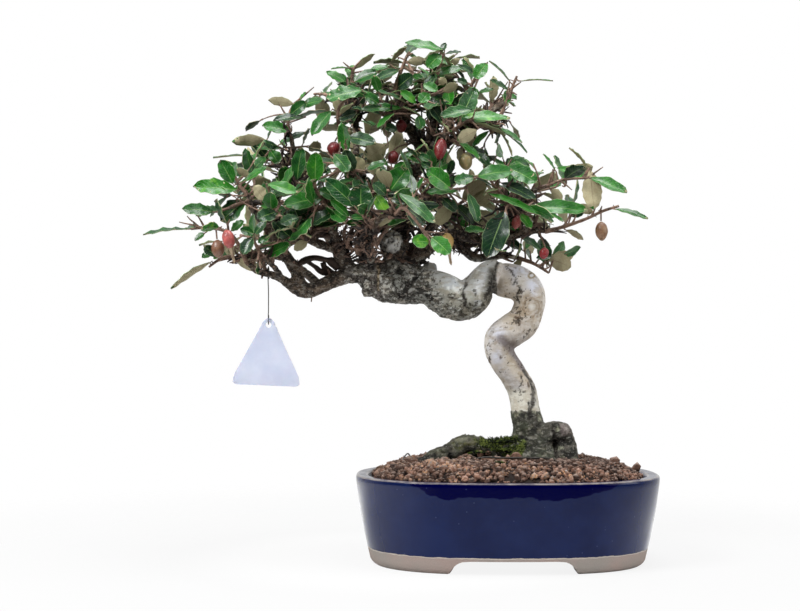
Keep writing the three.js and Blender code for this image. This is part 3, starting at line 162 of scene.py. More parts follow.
# The branches: u, v, depth, radius. Each starts inside its parent, and where a spray has the
# same name, the spray grows on from the branch's end.
BRANCHES = {
  "west_tip": [[372,277,0,8],[355,276,-3,6.5],[340,278,-6,6.2],[325,284,-9,6],[312,290,-11,5.8],
    [303,292,-12,5.4],[292,287,-13,4.5],[282,279,-14,3.9],[270,274,-15,3.1],[257,271,-17,2.2],
    [249,264,-19,1.7]],
  "west_upper": [[303,290,-12,5],[297,275,-12,4.8],[288,259,-12,4.6],[277,243,-14,4.2],
    [267,228,-16,3.6],[258,216,-18,2.7],[250,206,-20,1.8]],
  "west_low": [[286,257,-12,3.2],[273,256,-9,2.8],[255,256,-8,2.3],[240,258,-9,1.7]],
  "west_front": [[281,279,-14,2.8],[275,268,-24,1.9],[263,257,-30,1.4]],
  "west_crown": [[262,222,-17,2.6],[253,206,-26,1.9],[247,195,-30,1.4]],
  "west_mid": [[277,243,-14,3],[275,228,-26,2.2],[273,217,-34,1.5]],
  "rise_left": [[352,274,0,7.5],[343,262,-4,6.4],[338,248,-10,5],[333,232,-16,4.3],[329,215,-20,3.2],
    [327,209,-21,2]],
  "left_front": [[337,250,-9,3.4],[326,247,-18,2.8],[313,243,-25,2],[308,240,-28,1.5]],
  "left_back": [[333,234,-14,3.4],[320,215,-2,3],[303,195,6,2.6],[290,175,10,2.1],[282,161,12,1.5]],
  "left_top": [[297,186,8,2.6],[297,165,2,2.2],[293,146,-2,1.8],[290,133,-4,1.4]],
  "mid_rise": [[373,272,-2,6],[367,252,-8,4.2],[368,230,-14,3.7],[369,208,-18,3.2],[362,190,-18,2.8],
    [353,170,-16,2.5],[345,147,-14,1.7]],
  "mid_top": [[353,170,-16,2.6],[356,150,-4,2.3],[355,125,4,2],[353,105,8,1.8],[352,93,8,1.4]],
  "mid_front": [[368,232,-13,3.2],[364,221,-31,1.8]],
  "mid_side": [[365,197,-18,2.6],[372,193,-26,1.7]],
  "mid_left": [[352,168,-16,2.2],[347,168,-22,1.6]],
  "stump": [[396,278,2,11],[396,263,2,8.6],[392,251,1,7.2],[391,242,0,7.6],[391,235,0,6.2],[391,230,0,3]],
  "centre": [[403,252,6,6.2],[401,228,10,5],[403,203,14,4.6],[413,180,14,4.3],[424,158,12,4.3],
    [431,136,10,4.1],[437,114,8,4.2],[438,99,6,3.6],[436,89,5,2]],
  "centre_left": [[424,158,12,3.6],[411,132,10,3.2],[399,110,8,3],[396,92,6,1.9]],
  "centre_fork": [[401,114,8,2.4],[395,118,0,1.9],[390,119,-6,1.4]],
  "centre_mid": [[437,112,8,3],[430,106,-2,2.1],[426,101,-8,1.4]],
  "right_top": [[427,152,11,3.2],[442,146,10,2.9],[458,137,10,2.6],[473,127,11,2.4],[487,116,11,2.3],
    [500,105,9,2.2],[507,99,8,1.6]],
  "right_crest": [[466,131,11,2.4],[467,115,10,2],[469,99,8,1.6]],
  "right_twig": [[427,152,8,2.6],[437,141,-4,2],[449,133,-12,1.5]],
  "right_fall": [[486,117,11,2],[489,124,8,1.7],[491,130,6,1.3]],
  "east": [[410,264,4,7],[427,250,4,5.6],[444,237,4,5],[458,235,6,4.8],[472,238,8,4.4],[486,241,10,3.8],
    [500,240,9,3.2],[515,236,7,2.6],[530,231,4,2.2],[545,231,0,1.7]],
  "east_low": [[447,238,6,4],[460,247,13,3.6],[474,257,18,3.2],[490,257,20,2.8],[504,255,17,2.3],
    [517,258,13.5,1.6]],
  "east_rise": [[486,241,10,3.2],[496,229,5,2.9],[508,216,0,2.6],[518,204,-4,2.4],[528,194,-7,2.1],
    [538,189,-9,1.6]],
  "east_up": [[512,211,-2,2.4],[509,206,-9,1.9],[506,202,-13,1.5]],
  "right_mid": [[402,216,12,4],[414,206,0,3.1],[430,198,-10,2.5],[436,196,-13.5,1.8]],
  "right_lift": [[429,199,-9,2.2],[434,189,-20,1.7],[436,182,-26,1.3]],
  "front": [[372,262,-6,3.6],[369,246,-24,2.6],[371,230,-39,2.2],[382,217,-47,2],[394,214,-50,1.5]],
  "back_left": [[343,260,-3,4],[330,240,22,3],[310,222,38,2.3],[293,209,50,1.5]],
  "back_low": [[320,286,-8,4],[305,272,18,2.8],[288,258,34,2.1],[273,247,44,1.4]],
  "back_mid": [[402,225,11,4],[392,200,34,2.8],[382,178,48,2.2],[375,162,55,1.5]],
  "back_top": [[437,116,8,3.2],[428,98,24,2.3],[420,86,35,1.8],[415,77,41,1.3]],
  "back_crest": [[466,131,11,2.2],[478,120,27,1.8],[487,111,38,1.3]],
  "back_right": [[486,241,10.5,3],[498,224,30,2.4],[512,209,44,1.9],[522,200,51,1.4]],
  "back_centre": [[412,258,7,4.4],[424,238,30,3.1],[440,220,48,2.4],[452,210,58,1.6]],
  "back_peak": [[353,108,8,2],[340,101,25,1.7],[331,97,34,1.3]],
}

# The sprays: how many further leaves the rule places; u, v, depth of the twig past its branch; the
# leaves, from u, v at the blade's base to u, v at its tip, with the width in millimetres, the roll in
# degrees, where 0 faces the viewer, 90 faces up and 180 shows the underside, and a tint on some; and
# bare spikes, from u, v to u, v.
SPRAYS = {
  "west_low": [1,[[226,257,-11],[217,261,-13],[209,267,-15]],[[211,262,171,289,7,115],
    [216,250,202,258,6.5,40],[235,260,260,270,7,160]]],
  "west_tip": [1,[[243,255,-20],[237,242,-22],[229,233,-23],[218,229,-24],[204,228,-24],[191,229,-24]],
    [[190,229,143,235,8,72,0.3],[231,231,244,221,6,30]],[[204,228,179,222],[201,227,187,216],
    [206,227,197,215]]],
  "west_upper": [1,[[241,203,-22],[229,208,-24],[217,212,-25]],[[214,212,182,209,9,35,0.45],
    [246,201,221,221,13,20,0.35],[237,190,193,187,11.5,30,0.78]]],
  "west_crown": [1,[[240,186,-32],[235,176,-33]],[[233,184,220,160,9.5,15,0.6],[245,181,268,167,6.5,45]]],
  "left_back": [1,[[274,154,10],[268,147,8],[264,140,7]],[[266,140,232,142,7.5,155],
    [262,157,213,158,7,80],[270,150,279,164,8,20],[281,144,306,133,6.5,45]]],
  "left_top": [1,[[288,122,-5],[290,112,-6],[294,104,-6]],[[290,131,262,126,9,30,0.6],
    [294,104,268,100,6,160],[300,107,324,100,8,40],[290,115,307,102,8,15],[304,117,273,121,6.5,40]],
    [[300,103,314,87],[288,120,279,104]]],
  "mid_rise": [1,[[340,133,-12],[338,112,-16],[345,100,-17],[356,93,-17]],[[362,90,326,100,12,35,0.55],
    [331,111,312,136,9,25],[338,119,357,113,8,30],[347,137,376,144,10,30]]],
  "mid_top": [1,[[352,82,7],[352,74,6],[353,68,5]],[[346,82,326,72,7.5,40],[354,82,378,72,8.5,30],
    [370,70,388,67,6,45],[355,69,375,54,5,130]],[[353,70,343,62],[354,70,361,60]]],
  "centre_left": [1,[[398,79,4],[403,66,2],[407,56,1],[410,52,0]],[[391,62,407,47,5,120],
    [407,62,426,61,6,155],[400,70,375,80,6.5,30],[397,88,413,75,10,10],[424,80,412,76,5.5,40]],
    [[408,56,413,53]]],
  "centre": [1,[[437,79,4],[438,70,2],[441,61,0],[444,54,-1]],[[443,50,405,43,8,40,0.6],
    [441,54,427,68,9,10,0.7],[430,76,463,68,7.5,40,0.55]]],
  "centre_mid": [1,[[423,96,-11],[422,90,-13]],[[423,84,438,91,6.5,20,0.65],[429,93,420,103,8,20,0.7],
    [416,104,400,91,6.5,30],[443,92,458,84,6,160]],[[424,97,448,88]]],
  "right_crest": [1,[[471,89,6],[474,80,5],[487,64,3]],[[487,63,475,79,9,20,0.7],[474,74,459,66,5.5,40],
    [468,88,479,96,5.5,15]]],
  "right_top": [0,[[511,91,7],[514,83,6],[517,76,5]],[[511,83,489,61,5,70],[508,90,490,80,6,50],
    [521,81,553,81,4.5,80]],[[513,88,521,82],[511,92,517,95]]],
  "right_twig": [2,[[461,125,-16],[473,118,-20]],[[462,117,510,119,8.5,40,0.8],[473,110,440,117,9,35],
    [477,130,458,141,8,160],[459,142,480,159,6,45]]],
  "right_fall": [2,[[495,129,5],[501,128,4]],[[489,131,473,148,6,50],[500,128,522,143,6,55]]],
  "east_up": [1,[[502,196,-16],[496,188,-18],[490,180,-20]],[[477,176,513,171,11,25,0.6],
    [507,167,537,183,12,25,0.55],[514,160,529,168,7,20],[501,183,536,200,8,30],[487,193,541,216,6,45],
    [505,211,487,258,15.5,8,0],[529,208,588,211,11,35,0.65],[520,214,531,229,6,30]]],
  "east_rise": [1,[[547,186,-10],[556,182,-12],[568,179,-14],[590,178,-17]],[[557,168,588,179,8,35,0.7],
    [590,178,627,193,9,35,0.65],[590,170,594,209,12,172],[587,167,569,148,4.5,100],
    [551,189,562,200,6,140]],[[588,179,603,167],[548,186,553,169],[560,182,572,190]]],
  "east": [0,[[556,229,-3],[572,224,-6],[588,218,-9],[603,211,-12],[619,206,-14]],
    [[614,209,648,219,5.5,50,0.5],[577,205,593,213,6,160],[566,230,583,240,5,130]],[[592,216,596,205],
    [599,213,602,206],[572,224,576,215]]],
  "east_low": [1,[[530,262,11],[538,266,9],[549,273,8]],[[549,258,571,267,11,165],
    [542,251,520,236,6,40]],[[531,262,530,251]]],
  "right_mid": [1,[[443,194,-17],[451,190,-20],[467,188,-23]],[[468,193,478,223,7.5,30,0.3],
    [459,191,426,193,6.5,45],[442,198,457,212,7.5,25],[452,206,436,224,9,165],[474,178,454,182,8.5,30]]],
  "right_lift": [0,[[434,174,-28],[431,166,-30]],[[450,188,426,170,12.5,20,0.75],
    [414,186,400,150,4.5,55,0.3]]],
  "front": [0,[[403,208,-53],[412,216,-55],[420,226,-56],[427,235,-57]],[[398,193,435,223,8.5,35,0.45],
    [404,207,424,223,12,20,0.15],[429,242,412,241,8.5,15,0.85],[431,237,450,254,10.5,20,0.75]]],
  "mid_side": [1,[[380,190,-35],[391,191,-41]],[[390,191,408,168,13.5,12,0.55],
    [375,194,387,216,8,15,0.97],[386,195,373,183,8,25]]],
  "mid_front": [1,[[361,215,-42],[360,210,-46]],[[361,211,361,184,14.5,12,0.3],[349,217,330,200,6,30],
    [369,228,393,217,6,150]]],
  "rise_left": [0,[[323,202,-23],[318,193,-26],[313,182,-31]],[[315,183,316,152,10.5,5,0.8],
    [337,198,318,190,8,25],[323,198,283,206,12,25,0.6],[297,180,302,147,9,15,0.35],
    [336,210,308,227,9,35,0.2]]],
  "mid_left": [1,[[340,167,-30],[335,160,-34]],[[334,154,349,172,9.5,20,0.45],[347,177,331,158,9,40],
    [364,172,352,158,9,165],[366,170,386,162,6,40]]],
  "left_front": [3,[[302,237,-31],[294,230,-34],[287,225,-36]],[[299,217,280,224,8,30,0.25],
    [276,212,257,219,9,30],[308,241,294,250,6,160]]],
  "west_mid": [1,[[271,209,-37],[268,200,-39],[269,192,-40]],[[271,209,271,192,9.5,15],
    [268,184,298,193,8,30,0.75],[265,200,254,186,8,160]]],
  "west_front": [1,[[257,247,-33],[253,239,-35]],[[253,237,243,255,8.5,25],[254,234,240,229,6,25],
    [254,235,267,221,6,30],[270,236,258,243,5,25]]],
  "centre_fork": [1,[[385,116,-9],[380,112,-11]],[[402,108,360,110,7.5,40,0.5],[384,126,397,131,6,20],
    [379,104,364,95,7.5,25],[386,145,366,160,13,165],[418,116,421,130,7,20]]],
  "back_left": [5,[[280,201,56],[256,194,63]]],
  "back_low": [5,[[262,240,48],[240,235,53]]],
  "back_mid": [5,[[369,150,60],[358,127,66]]],
  "back_top": [4,[[411,69,46],[408,62,50]]],
  "back_crest": [4,[[493,104,43],[498,99,47]]],
  "back_right": [5,[[532,193,56],[556,187,62]]],
  "back_centre": [5,[[462,202,64],[477,192,70]]],
  "back_peak": [4,[[322,94,41],[314,94,45]]],
}
SPRAY_KEYS = ["fill", "path", "leaves", "bare"]
SPRAYS = {name: dict(zip(SPRAY_KEYS, row)) for name, row in SPRAYS.items()}

# Small leaves that only the looks have, read as the others are.
SMALL_LEAVES = {
  "west_tip": [[205,233,195,241,5,40]],
  "west_upper": [[238,198,247,190,5,30]],
  "west_crown": [[250,177,236,169,5,150]],
  "left_top": [[299,102,306,92,4,60]],
  "mid_top": [[349,68,331,69,3.5,70]],
  "centre": [[441,52,446,43,4.5,30],[445,54,461,52,5,60]],
  "centre_mid": [[447,84,438,79,5,160]],
  "right_crest": [[468,84,457,80,5,30],[478,93,494,89,5,50]],
  "right_fall": [[512,138,527,153,3,60]],
  "east_rise": [[555,170,543,154,4,60]],
  "east_low": [[552,257,536,258,4.5,30],[522,261,514,268,5,150]],
  "right_lift": [[431,168,421,163,5,20],[430,161,419,155,5,20]],
  "rise_left": [[318,180,342,183,4.5,45]],
  "front": [[391,199,405,204,5,30]],
}

# The berries: what bears each; u, v, depth from there down its stalk to its top; u, v, depth of its
# lower end; its radius in millimetres; and the length of its dry tail.
BERRIES = {
  "pink": ["west_tip",[[226,231,-23],[226,229,-30]],[231,249,-31],3.7,9],
  "brown": ["west_tip",[[216,229,-24],[217,239,-24]],[219,258,-24],4,0],
  "crimson": ["mid_rise",[[340,133,-12],[335,141,-13]],[333,156,-14],4.2,0],
  "scarlet": ["wood",[[401,114,6],[401,119,-1]],[401,133,-3],3.4,0],
  "garnet": ["wood",[[415,142,10],[400,146,0],[394,150,-3]],[392,164,-5],3.6,0],
  "ruby": ["wood",[[441,139,-6],[442,138,-15]],[439,160,-18],3.7,0],
  "olive": ["wood",[[458,138,9],[463,145,2],[464,153,-2]],[467,170,-4],4.2,0],
  "amber": ["wood",[[446,236,3],[447,229,-8],[446,232,-13]],[449,251,-15],3.7,9],
  "tan": ["east",[[601,212,-12],[601,221,-12]],[602,241,-12],3.8,0],
  "rose": ["wood",[[539,231,1],[545,247,0]],[543,259,-2],3,0],
  "rust": ["wood",[[518,205,-4],[518,214,-8]],[515,229,-10],2.9,0],
}
BERRY_KEYS = ["bearer", "stalk", "end", "radius", "tail"]
BERRIES = {name: dict(zip(BERRY_KEYS, row)) for name, row in BERRIES.items()}

# The wires, in millimetres from the pot's middle, and where the tag hangs: u, v, depth.
ANCHOR_LOOP = [
  [-35,0,7.4],[0,0,7.2],[35,0,7.4],[38,0,11],[38,0,18],[37.5,-8,38],[34,-20,55],[27,-27,64],
  [12,-30.5,65.6],[-5,-30.5,65.6],[-19,-28,65.2],[-30,-21,57],[-37,-9,40],[-38,0,18],[-38,0,11],
]
PIN_PATH = [
  [-64.8,-2,48],[-64.8,-2,60],[-63.8,-2.1,63.4],[-61.5,-2.3,66],[-60,-2.2,64.6],[-59.8,-2,60],
  [-59.8,-2,48],
]
TAG_TOP = [268.5,315,-15]
TAG_HANG = [268.5,273.4,-15]


def place(u, v, depth):
    """The point at u, v of the front view and a depth behind the pot's middle plane, in millimetres."""
    u, v, depth = np.broadcast_arrays(*(np.asarray(x, float) for x in (u, v, depth)))
    step = STEP * (1 + depth / VIEW_DISTANCE)
    x = (VIEW_U - POT_U) * STEP + (u - VIEW_U) * step
    return np.stack([x, depth, VIEW_HEIGHT - (v - VIEW_V) * step], -1)


def place_rows(rows):
    """The points of rows that begin with u, v and depth."""
    return place(*np.array(rows, float).T[:3])


def read_path(rows):
    """The points of rows of u, v, depth and radius, and the radii."""
    return place_rows(rows), np.array(rows, float)[:, 3]


def seen(points):
    """The u and v of points in the front view: the inverse of place."""
    step = STEP * (1 + points[..., 1] / VIEW_DISTANCE)
    u = VIEW_U + (points[..., 0] - (VIEW_U - POT_U) * STEP) / step
    return u, VIEW_V - (points[..., 2] - VIEW_HEIGHT) / step


def unit(vectors):
    """The same directions, one long."""
    length = np.linalg.norm(vectors, axis=-1, keepdims=True)
    return vectors / np.maximum(length, 1e-9)


def square_to(way, axis):
    """The part of a way that is square to an axis, one long."""
    return unit(way - axis * way.dot(axis))


def ease(x, start, end):
    """0 before start and 1 after end, smooth between: 3t^2 - 2t^3."""
    t = np.clip((x - start) / (end - start), 0, 1)
    return t * t * (3 - 2 * t)


def draws(seed):
    """The part's own run of numbers from 0 to 1: state times 1664525 plus 1013904223, modulo 2^32."""
    state = [seed * 7919 + 12345]

    def draw():
        state[0] = (state[0] * 1664525 + 1013904223) % 4294967296
        return state[0] / 4294967296

    draw()
    draw()
    return draw


def lattice(cells, seed):
    """A repeatable value from -1 to 1 at each whole-numbered cell: the fraction of a large sine."""
    mixed = np.sin(cells[..., 0] * 127.1 + cells[..., 1] * 311.7 + cells[..., 2] * 74.7 + seed * 19.19)
    return 2 * np.modf(np.abs(mixed) * 43758.5453)[0] - 1


def bumps(points, size, seed=0):
    """Smooth noise from -1 to 1 with lumps of the given size: lattice values blended by 3t^2 - 2t^3."""
    scaled = points / size
    cell = np.floor(scaled)
    part = scaled - cell
    part = part * part * (3 - 2 * part)
    total = 0
    for corner in np.ndindex(2, 2, 2):
        corner = np.array(corner)
        weight = np.prod(np.where(corner == 1, part, 1 - part), -1)
        total = total + weight * lattice(cell + corner, seed)
    return total


def rough(points, size, layers=3, seed=0):
    """Layers of bumps, each half the size and half the height of the one before."""
    return sum(bumps(points, size / 2**k, seed + k) / 2**k for k in range(layers))


def from_points(mesh, key):
    """The three numbers that a mesh holds for each of its points."""
    flat = np.empty(len(mesh.vertices) * 3, np.float32)
    mesh.vertices.foreach_get(key, flat)
    return flat.reshape(-1, 3)


def hold(mesh, name, values):
    """Keeps a value for each point of a mesh under a name."""
    mesh.attributes.new(name, "FLOAT", "POINT").data.foreach_set("value", values.astype(np.float32))


class Parts:
    """Gathers points, faces of four or three corners, and values for each point into one mesh."""

    def __init__(self, *values):
        self.points, self.faces, self.slots, self.uv = [], [], [], []
        self.values = {name: [] for name in values}
        self.count = 0

    def add(self, points, faces, slot=0, uv=None, **values):
        points = np.asarray(points, float).reshape(-1, 3)
        faces = np.asarray(faces, int)
        if faces.shape[1] == 3:
            faces = np.concatenate([faces, np.full((len(faces), 1), -1)], 1)
        self.faces.append(np.where(faces < 0, -1, faces + self.count))
        self.slots.append(np.broadcast_to(slot, len(faces)))
        self.points.append(points)
        self.uv.append(np.zeros((len(points), 2)) if uv is None else np.asarray(uv).reshape(-1, 2))
        for name, kept in self.values.items():
            value = np.asarray(values.get(name, 0.0), float)
            kept.append(np.broadcast_to(value.reshape(-1) if value.ndim else value, len(points)))
        self.count += len(points)

    def mesh(self, name, sharp, merge=False):
        """The mesh in metres in the frame, smooth but for edges sharper than the angle in degrees."""
        points = (np.concatenate(self.points) + HOME) / 1000
        faces, slots = np.concatenate(self.faces), np.concatenate(self.slots)
        uv = np.concatenate(self.uv)
        sizes = (faces >= 0).sum(1)
        corners = faces[faces >= 0]
        mesh = bpy.data.meshes.new(name)
        mesh.vertices.add(len(points))
        mesh.vertices.foreach_set("co", points.astype(np.float32).ravel())
        mesh.loops.add(len(corners))
        mesh.loops.foreach_set("vertex_index", corners.astype(np.int32))
        mesh.polygons.add(len(faces))
        mesh.polygons.foreach_set("loop_start", (np.cumsum(sizes) - sizes).astype(np.int32))
        mesh.polygons.foreach_set("material_index", slots.astype(np.int32))
        layer = mesh.uv_layers.new(name="UVMap")
        layer.data.foreach_set("uv", uv[corners].astype(np.float32).ravel())
        for key, kept in self.values.items():
            hold(mesh, key, np.concatenate(kept))
        mesh.update(calc_edges=True)
        mesh.validate()
        if merge:
            tidy = bmesh.new()
            tidy.from_mesh(mesh)
            bmesh.ops.remove_doubles(tidy, verts=tidy.verts, dist=2e-6)
            bmesh.ops.recalc_face_normals(tidy, faces=tidy.faces)
            tidy.to_mesh(mesh)
            tidy.free()
        mesh.polygons.foreach_set("use_smooth", np.ones(len(mesh.polygons), bool))
        if sharp:
            mesh.set_sharp_from_angle(angle=math.radians(sharp))
        return mesh


def shell_faces(rings, around, closed_run=False, caps=True):
    """Faces of a wall of rings with the given number of points each, with fans over its flat ends."""
    i = np.arange(rings if closed_run else rings - 1)[:, None] * around
    j = np.arange(around)[None]
    k = (j + 1) % around
    n = (i + around) % (rings * around)
    walls = np.stack([i + j, i + k, n + k, n + j], -1).reshape(-1, 4)
    if closed_run or not caps:
        return walls
    first = np.arange(1, around - 1)
    last = (rings - 1) * around
    start = np.stack([0 * first, first + 1, first, 0 * first - 1], -1)
    end = np.stack([0 * first + last, last + first, last + first + 1, 0 * first - 1], -1)
    return np.concatenate([walls, start, end])


def turned(faces):
    """The same faces turned round."""
    return np.where(faces[:, 3:] < 0, faces[:, [0, 2, 1, 3]], faces[:, ::-1])


def copies(faces, each, number):
    """The same faces for each of a number of shapes that hold as many points each."""
    shift = (np.arange(number) * each)[:, None, None]
    return np.where(faces[None] < 0, -1, faces[None] + shift).reshape(-1, 4)


def curve(points, radii, extra, loop=False):
    """A smooth curve through the points, with extra points between: Catmull-Rom cubics."""
    rows = np.concatenate([points, radii[:, None]], 1)
    before = np.roll(rows, 1, 0) if loop else np.concatenate([rows[:1], rows[:-1]])
    after = np.roll(rows, -1, 0) if loop else np.concatenate([rows[1:], rows[-1:]])
    beyond = np.roll(after, -1, 0) if loop else np.concatenate([after[1:], after[-1:]])
    t = (np.arange(extra + 1) / (extra + 1))[None, :, None]
    p, q, r, s = (x[:, None] for x in (before, rows, after, beyond))
    out = 0.5 * (2 * q + (r - p) * t + (2 * p - 5 * q + 4 * r - s) * t * t
                 + (3 * q - p - 3 * r + s) * t**3)
    out = out.reshape(-1, 4)
    if not loop:
        out = out[: (len(rows) - 1) * (extra + 1) + 1]
    return out[:, :3], out[:, 3]


def turns(sides):
    """The angles of even steps round a circle."""
    return 2 * np.pi * np.arange(sides) / sides


def spokes(across, up, sides):
    """Directions round each line, from the two that are square to it."""
    angle = turns(sides)[None, :, None]
    return across[:, None] * np.cos(angle) + up[:, None] * np.sin(angle)


def between(starts, ends, count):
    """Even points on the lines from the starts to the ends, and the share of the way that each has come."""
    s = np.linspace(0, 1, count)[None, :, None]
    return starts[:, None] * (1 - s) + ends[:, None] * s, s


def tube(points, radii, sides, bark=0.0, loop=False):
    """Rings round a path, square to it and carried along without twist. bark swells each ring by
    sin(2a + run / 9) + 0.7 sin(3a - run / 6.5 + 1), where run is the length so far."""
    ahead = unit(np.roll(points, -1, 0) - points)
    behind = np.roll(ahead, 1, 0)
    if not loop:
        ahead[-1] = behind[-1]
        behind[0] = ahead[0]
    direction = unit(ahead + behind)
    guide = np.array([0, 0, 1.0]) if abs(direction[0][2]) < 0.9 else np.array([0, 1.0, 0])
    side = unit(np.cross(direction[0], guide))
    across = np.empty_like(points)
    for i, way in enumerate(direction):
        side = square_to(side, way)
        across[i] = side
    run = np.concatenate([[0], np.cumsum(np.linalg.norm(np.diff(points, axis=0), axis=1))])[:, None]
    angle = turns(sides)
    swell = 1 + bark * (np.sin(2 * angle + run / 9) + 0.7 * np.sin(3 * angle - run / 6.5 + 1))
    reach = (radii[:, None] * swell)[..., None]
    return points[:, None] + reach * spokes(across, np.cross(direction, across), sides)


def add_tube(parts, points, radii, sides, bark=0.0, loop=False, slot=0, **values):
    """A tube with flat ends, or closed in a loop."""
    rings = tube(points, radii, sides, bark, loop)
    parts.add(rings, shell_faces(len(rings), sides, loop), slot, **values)


def corners(node):
    """The corners of a CAD node, in millimetres from the pot's middle."""
    return from_points(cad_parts[node].data, "co") * 1000.0 - HOME


def misfit(points, cloud):
    """How far points lie from their nearest corners of the CAD node on average, 3 mm at most each."""
    gaps = np.linalg.norm(points[:, None] - cloud[None], axis=2).min(1)
    return np.minimum(gaps, 3).mean()


# The leaves. A tint below 0 is drawn later.
def leaf_of(root, base, tip, normal, width, tint=-1.0, rule=True):
    """A leaf from its root on the twig. The rule says whether it was placed by rule or read."""
    return {"root": root, "base": base, "tip": tip, "normal": normal, "width": width, "tint": tint,
            "rule": rule}


def blade_corners(leaf):
    """Where the part's own blade has its outer points: three stations, or two on a short leaf."""
    axis = leaf["tip"] - leaf["base"]
    length = np.linalg.norm(axis)
    axis = axis / length
    side = unit(np.cross(leaf["normal"], axis))
    face = np.cross(axis, side)
    stations = [[0.2, 0.78], [0.5, 1], [0.8, 0.72]] if length > 25 else [[0.3, 0.9], [0.7, 0.84]]
    out = [leaf["tip"]]
    for i, (share, wide) in enumerate(stations):
        arch = 0.28 * length * share * (1 - share) - 0.03 * length
        wave = (1 if i % 2 == 0 else -1) * 0.05 * leaf["width"]
        middle = leaf["base"] + axis * share * length + face * arch
        out.append(middle)
        for sign in (-1, 1):
            out.append(middle + side * sign * leaf["width"] / 2 * wide
                       + face * (0.1 * leaf["width"] + sign * wave))
    return np.array(out)


def nearest_on_twig(path, u, v, taken=(), ahead=None):
    """The twig's point nearest to a place in the front view, spread from the roots already there."""
    ahead = ahead or (u, v)
    best = None
    for i in range(1, len(path) - 1):
        for k in range(9):
            point = path[i] + (path[i + 1] - path[i]) * (k / 8)
            away = place(u, v, point[1]) - point
            crowd = sum(max(0.0, ROOT_SPREAD - np.linalg.norm(t - point)) for t in taken)
            back = away[0] * (ahead[0] - u) - away[2] * (ahead[1] - v)
            fold = -back / (1 + math.hypot(ahead[0] - u, ahead[1] - v)) if back < 0 else 0
            cost = math.hypot(away[0], away[2]) + 6 * crowd + fold
            if best is None or cost < best[0]:
                best = (cost, point)
    return best[1]


def grow_twig(end, before, end_radius, rows, cloud):
    """A twig on from its branch's end: of the part's seven bends, the one that its node shows."""
    direction = unit(end - before)
    start = end + direction * 0.3
    best = None
    for shift in DEPTH_TRIES:
        points = [start, start + direction * 1.5]
        radii = [end_radius * 0.95, end_radius * 0.9]
        for i, (u, v, depth) in enumerate(rows):
            share = (i + 1) / len(rows)
            points.append(place(u, v, depth + shift * share))
            radii.append(end_radius * 0.85 * (1 - share) + TWIG_END * share)
        points = np.array(points)
        cost = misfit(points[2:], cloud)
        if best is None or cost < best[0] - 1e-6:
            best = (cost, points, np.array(radii))
    return best[1], best[2]


def read_leaf(twig, row, seed, taken, cloud):
    """A leaf read from the front view, with the lean and roll that its node shows, or the first of each
    where the leaf has no node."""
    bu, bv, tu, tv, width, roll, *tint = row
    root = nearest_on_twig(twig, bu, bv, taken, (tu, tv))
    base = place(bu, bv, root[1] - 1)
    flat = np.linalg.norm(place(tu, tv, root[1]) - place(bu, bv, root[1]))
    lean = 0.16 * (draws(seed)() - 0.5)
    tries = [(extra, share) for extra in ROLL_TRIES for share in LEAN_TRIES]
    best = None
    for extra, share in tries if cloud is not None else tries[:1]:
        tip = place(tu, tv, root[1] + (share + lean) * flat)
        axis = unit(tip - base)
        front = square_to(np.array([0, -1.0, 0]), axis)
        over = np.cross(axis, front)
        over = -over if over[2] < 0 else over
        angle = math.radians(roll + extra)
        normal = front * math.cos(angle) + over * math.sin(angle)
        leaf = leaf_of(root, base, tip, normal, width, tint[0] if tint else -1.0, False)
        cost = 0 if cloud is None else misfit(blade_corners(leaf), cloud)
        if best is None or cost < best[0] - 1e-6:
            best = (cost, leaf)
    return best[1]


def fill_leaf(twig, index, count, seed, cloud):
    """A leaf by the part's rule, at the golden angle round the twig: the try that its node shows."""
    best = (FILL_MISFIT, None)
    middle = place(395, 205, 0)
    for attempt in range(FILL_TRIES):
        draw = draws(seed * 31 + attempt)
        along = (0.25 + 0.75 * ((index + draw()) / count)) * (len(twig) - 2) + 1
        i = min(int(along), len(twig) - 2)
        root = twig[i] + (twig[i + 1] - twig[i]) * (along - i)
        run = unit(twig[i + 1] - twig[i])
        level = unit(np.cross(run, [0, 0, 1.0]))
        above = np.cross(level, run)
        angle = index * GOLDEN_ANGLE + attempt * 0.9 + draw()
        out = unit(run * (0.35 + 0.5 * draw()) + level * math.cos(angle) + above * math.sin(angle))
        length = 16 + 14 * draw() - 0.5 * attempt
        base = root + out * 3
        tip = base + out * length - np.array([0, 0, 0.12 * length])
        normal = unit(root - middle) * 0.6
        normal = normal + np.array([0.4 * draw() - 0.2, 0.4 * draw() - 0.2, 0.6])
        leaf = leaf_of(root, base, tip, square_to(normal, unit(tip - base)), 0.36 * length + 0.8)
        cost = misfit(blade_corners(leaf), cloud)
        if cost < best[0]:
            best = (cost, leaf)
    return best[1]


def grow_sprays():
    """The twigs, spikes and leaves of every spray, as the part places them."""
    sprays = {}
    for number, (name, row) in enumerate(SPRAYS.items()):
        cloud = corners(f"spray_{name}")
        points, radii = read_path(BRANCHES[name])
        twig, twig_radii = grow_twig(points[-1], points[-2], radii[-1], row["path"], cloud)
        taken, spikes, leaves = [], [], []
        for bu, bv, tu, tv in row.get("bare", []):
            root = nearest_on_twig(twig, bu, bv)
            taken.append(root)
            spikes.append((root, place(tu, tv, root[1] - 2)))
        for i, leaf_row in enumerate(row.get("leaves", [])):
            leaf = read_leaf(twig, leaf_row, number * 100 + i, taken, cloud)
            taken.append(leaf["root"])
            leaves.append(leaf)
        for i in range(row["fill"]):
            leaf = fill_leaf(twig, i, row["fill"], number * 100 + 50 + i, cloud)
            if leaf is not None:
                leaves.append(leaf)
        for leaf_row in SMALL_LEAVES.get(name, []):
            leaves.append(read_leaf(twig, leaf_row, 7, taken, None))
        sprays[name] = {"twig": (twig, twig_radii), "spikes": spikes, "leaves": leaves}
    return sprays


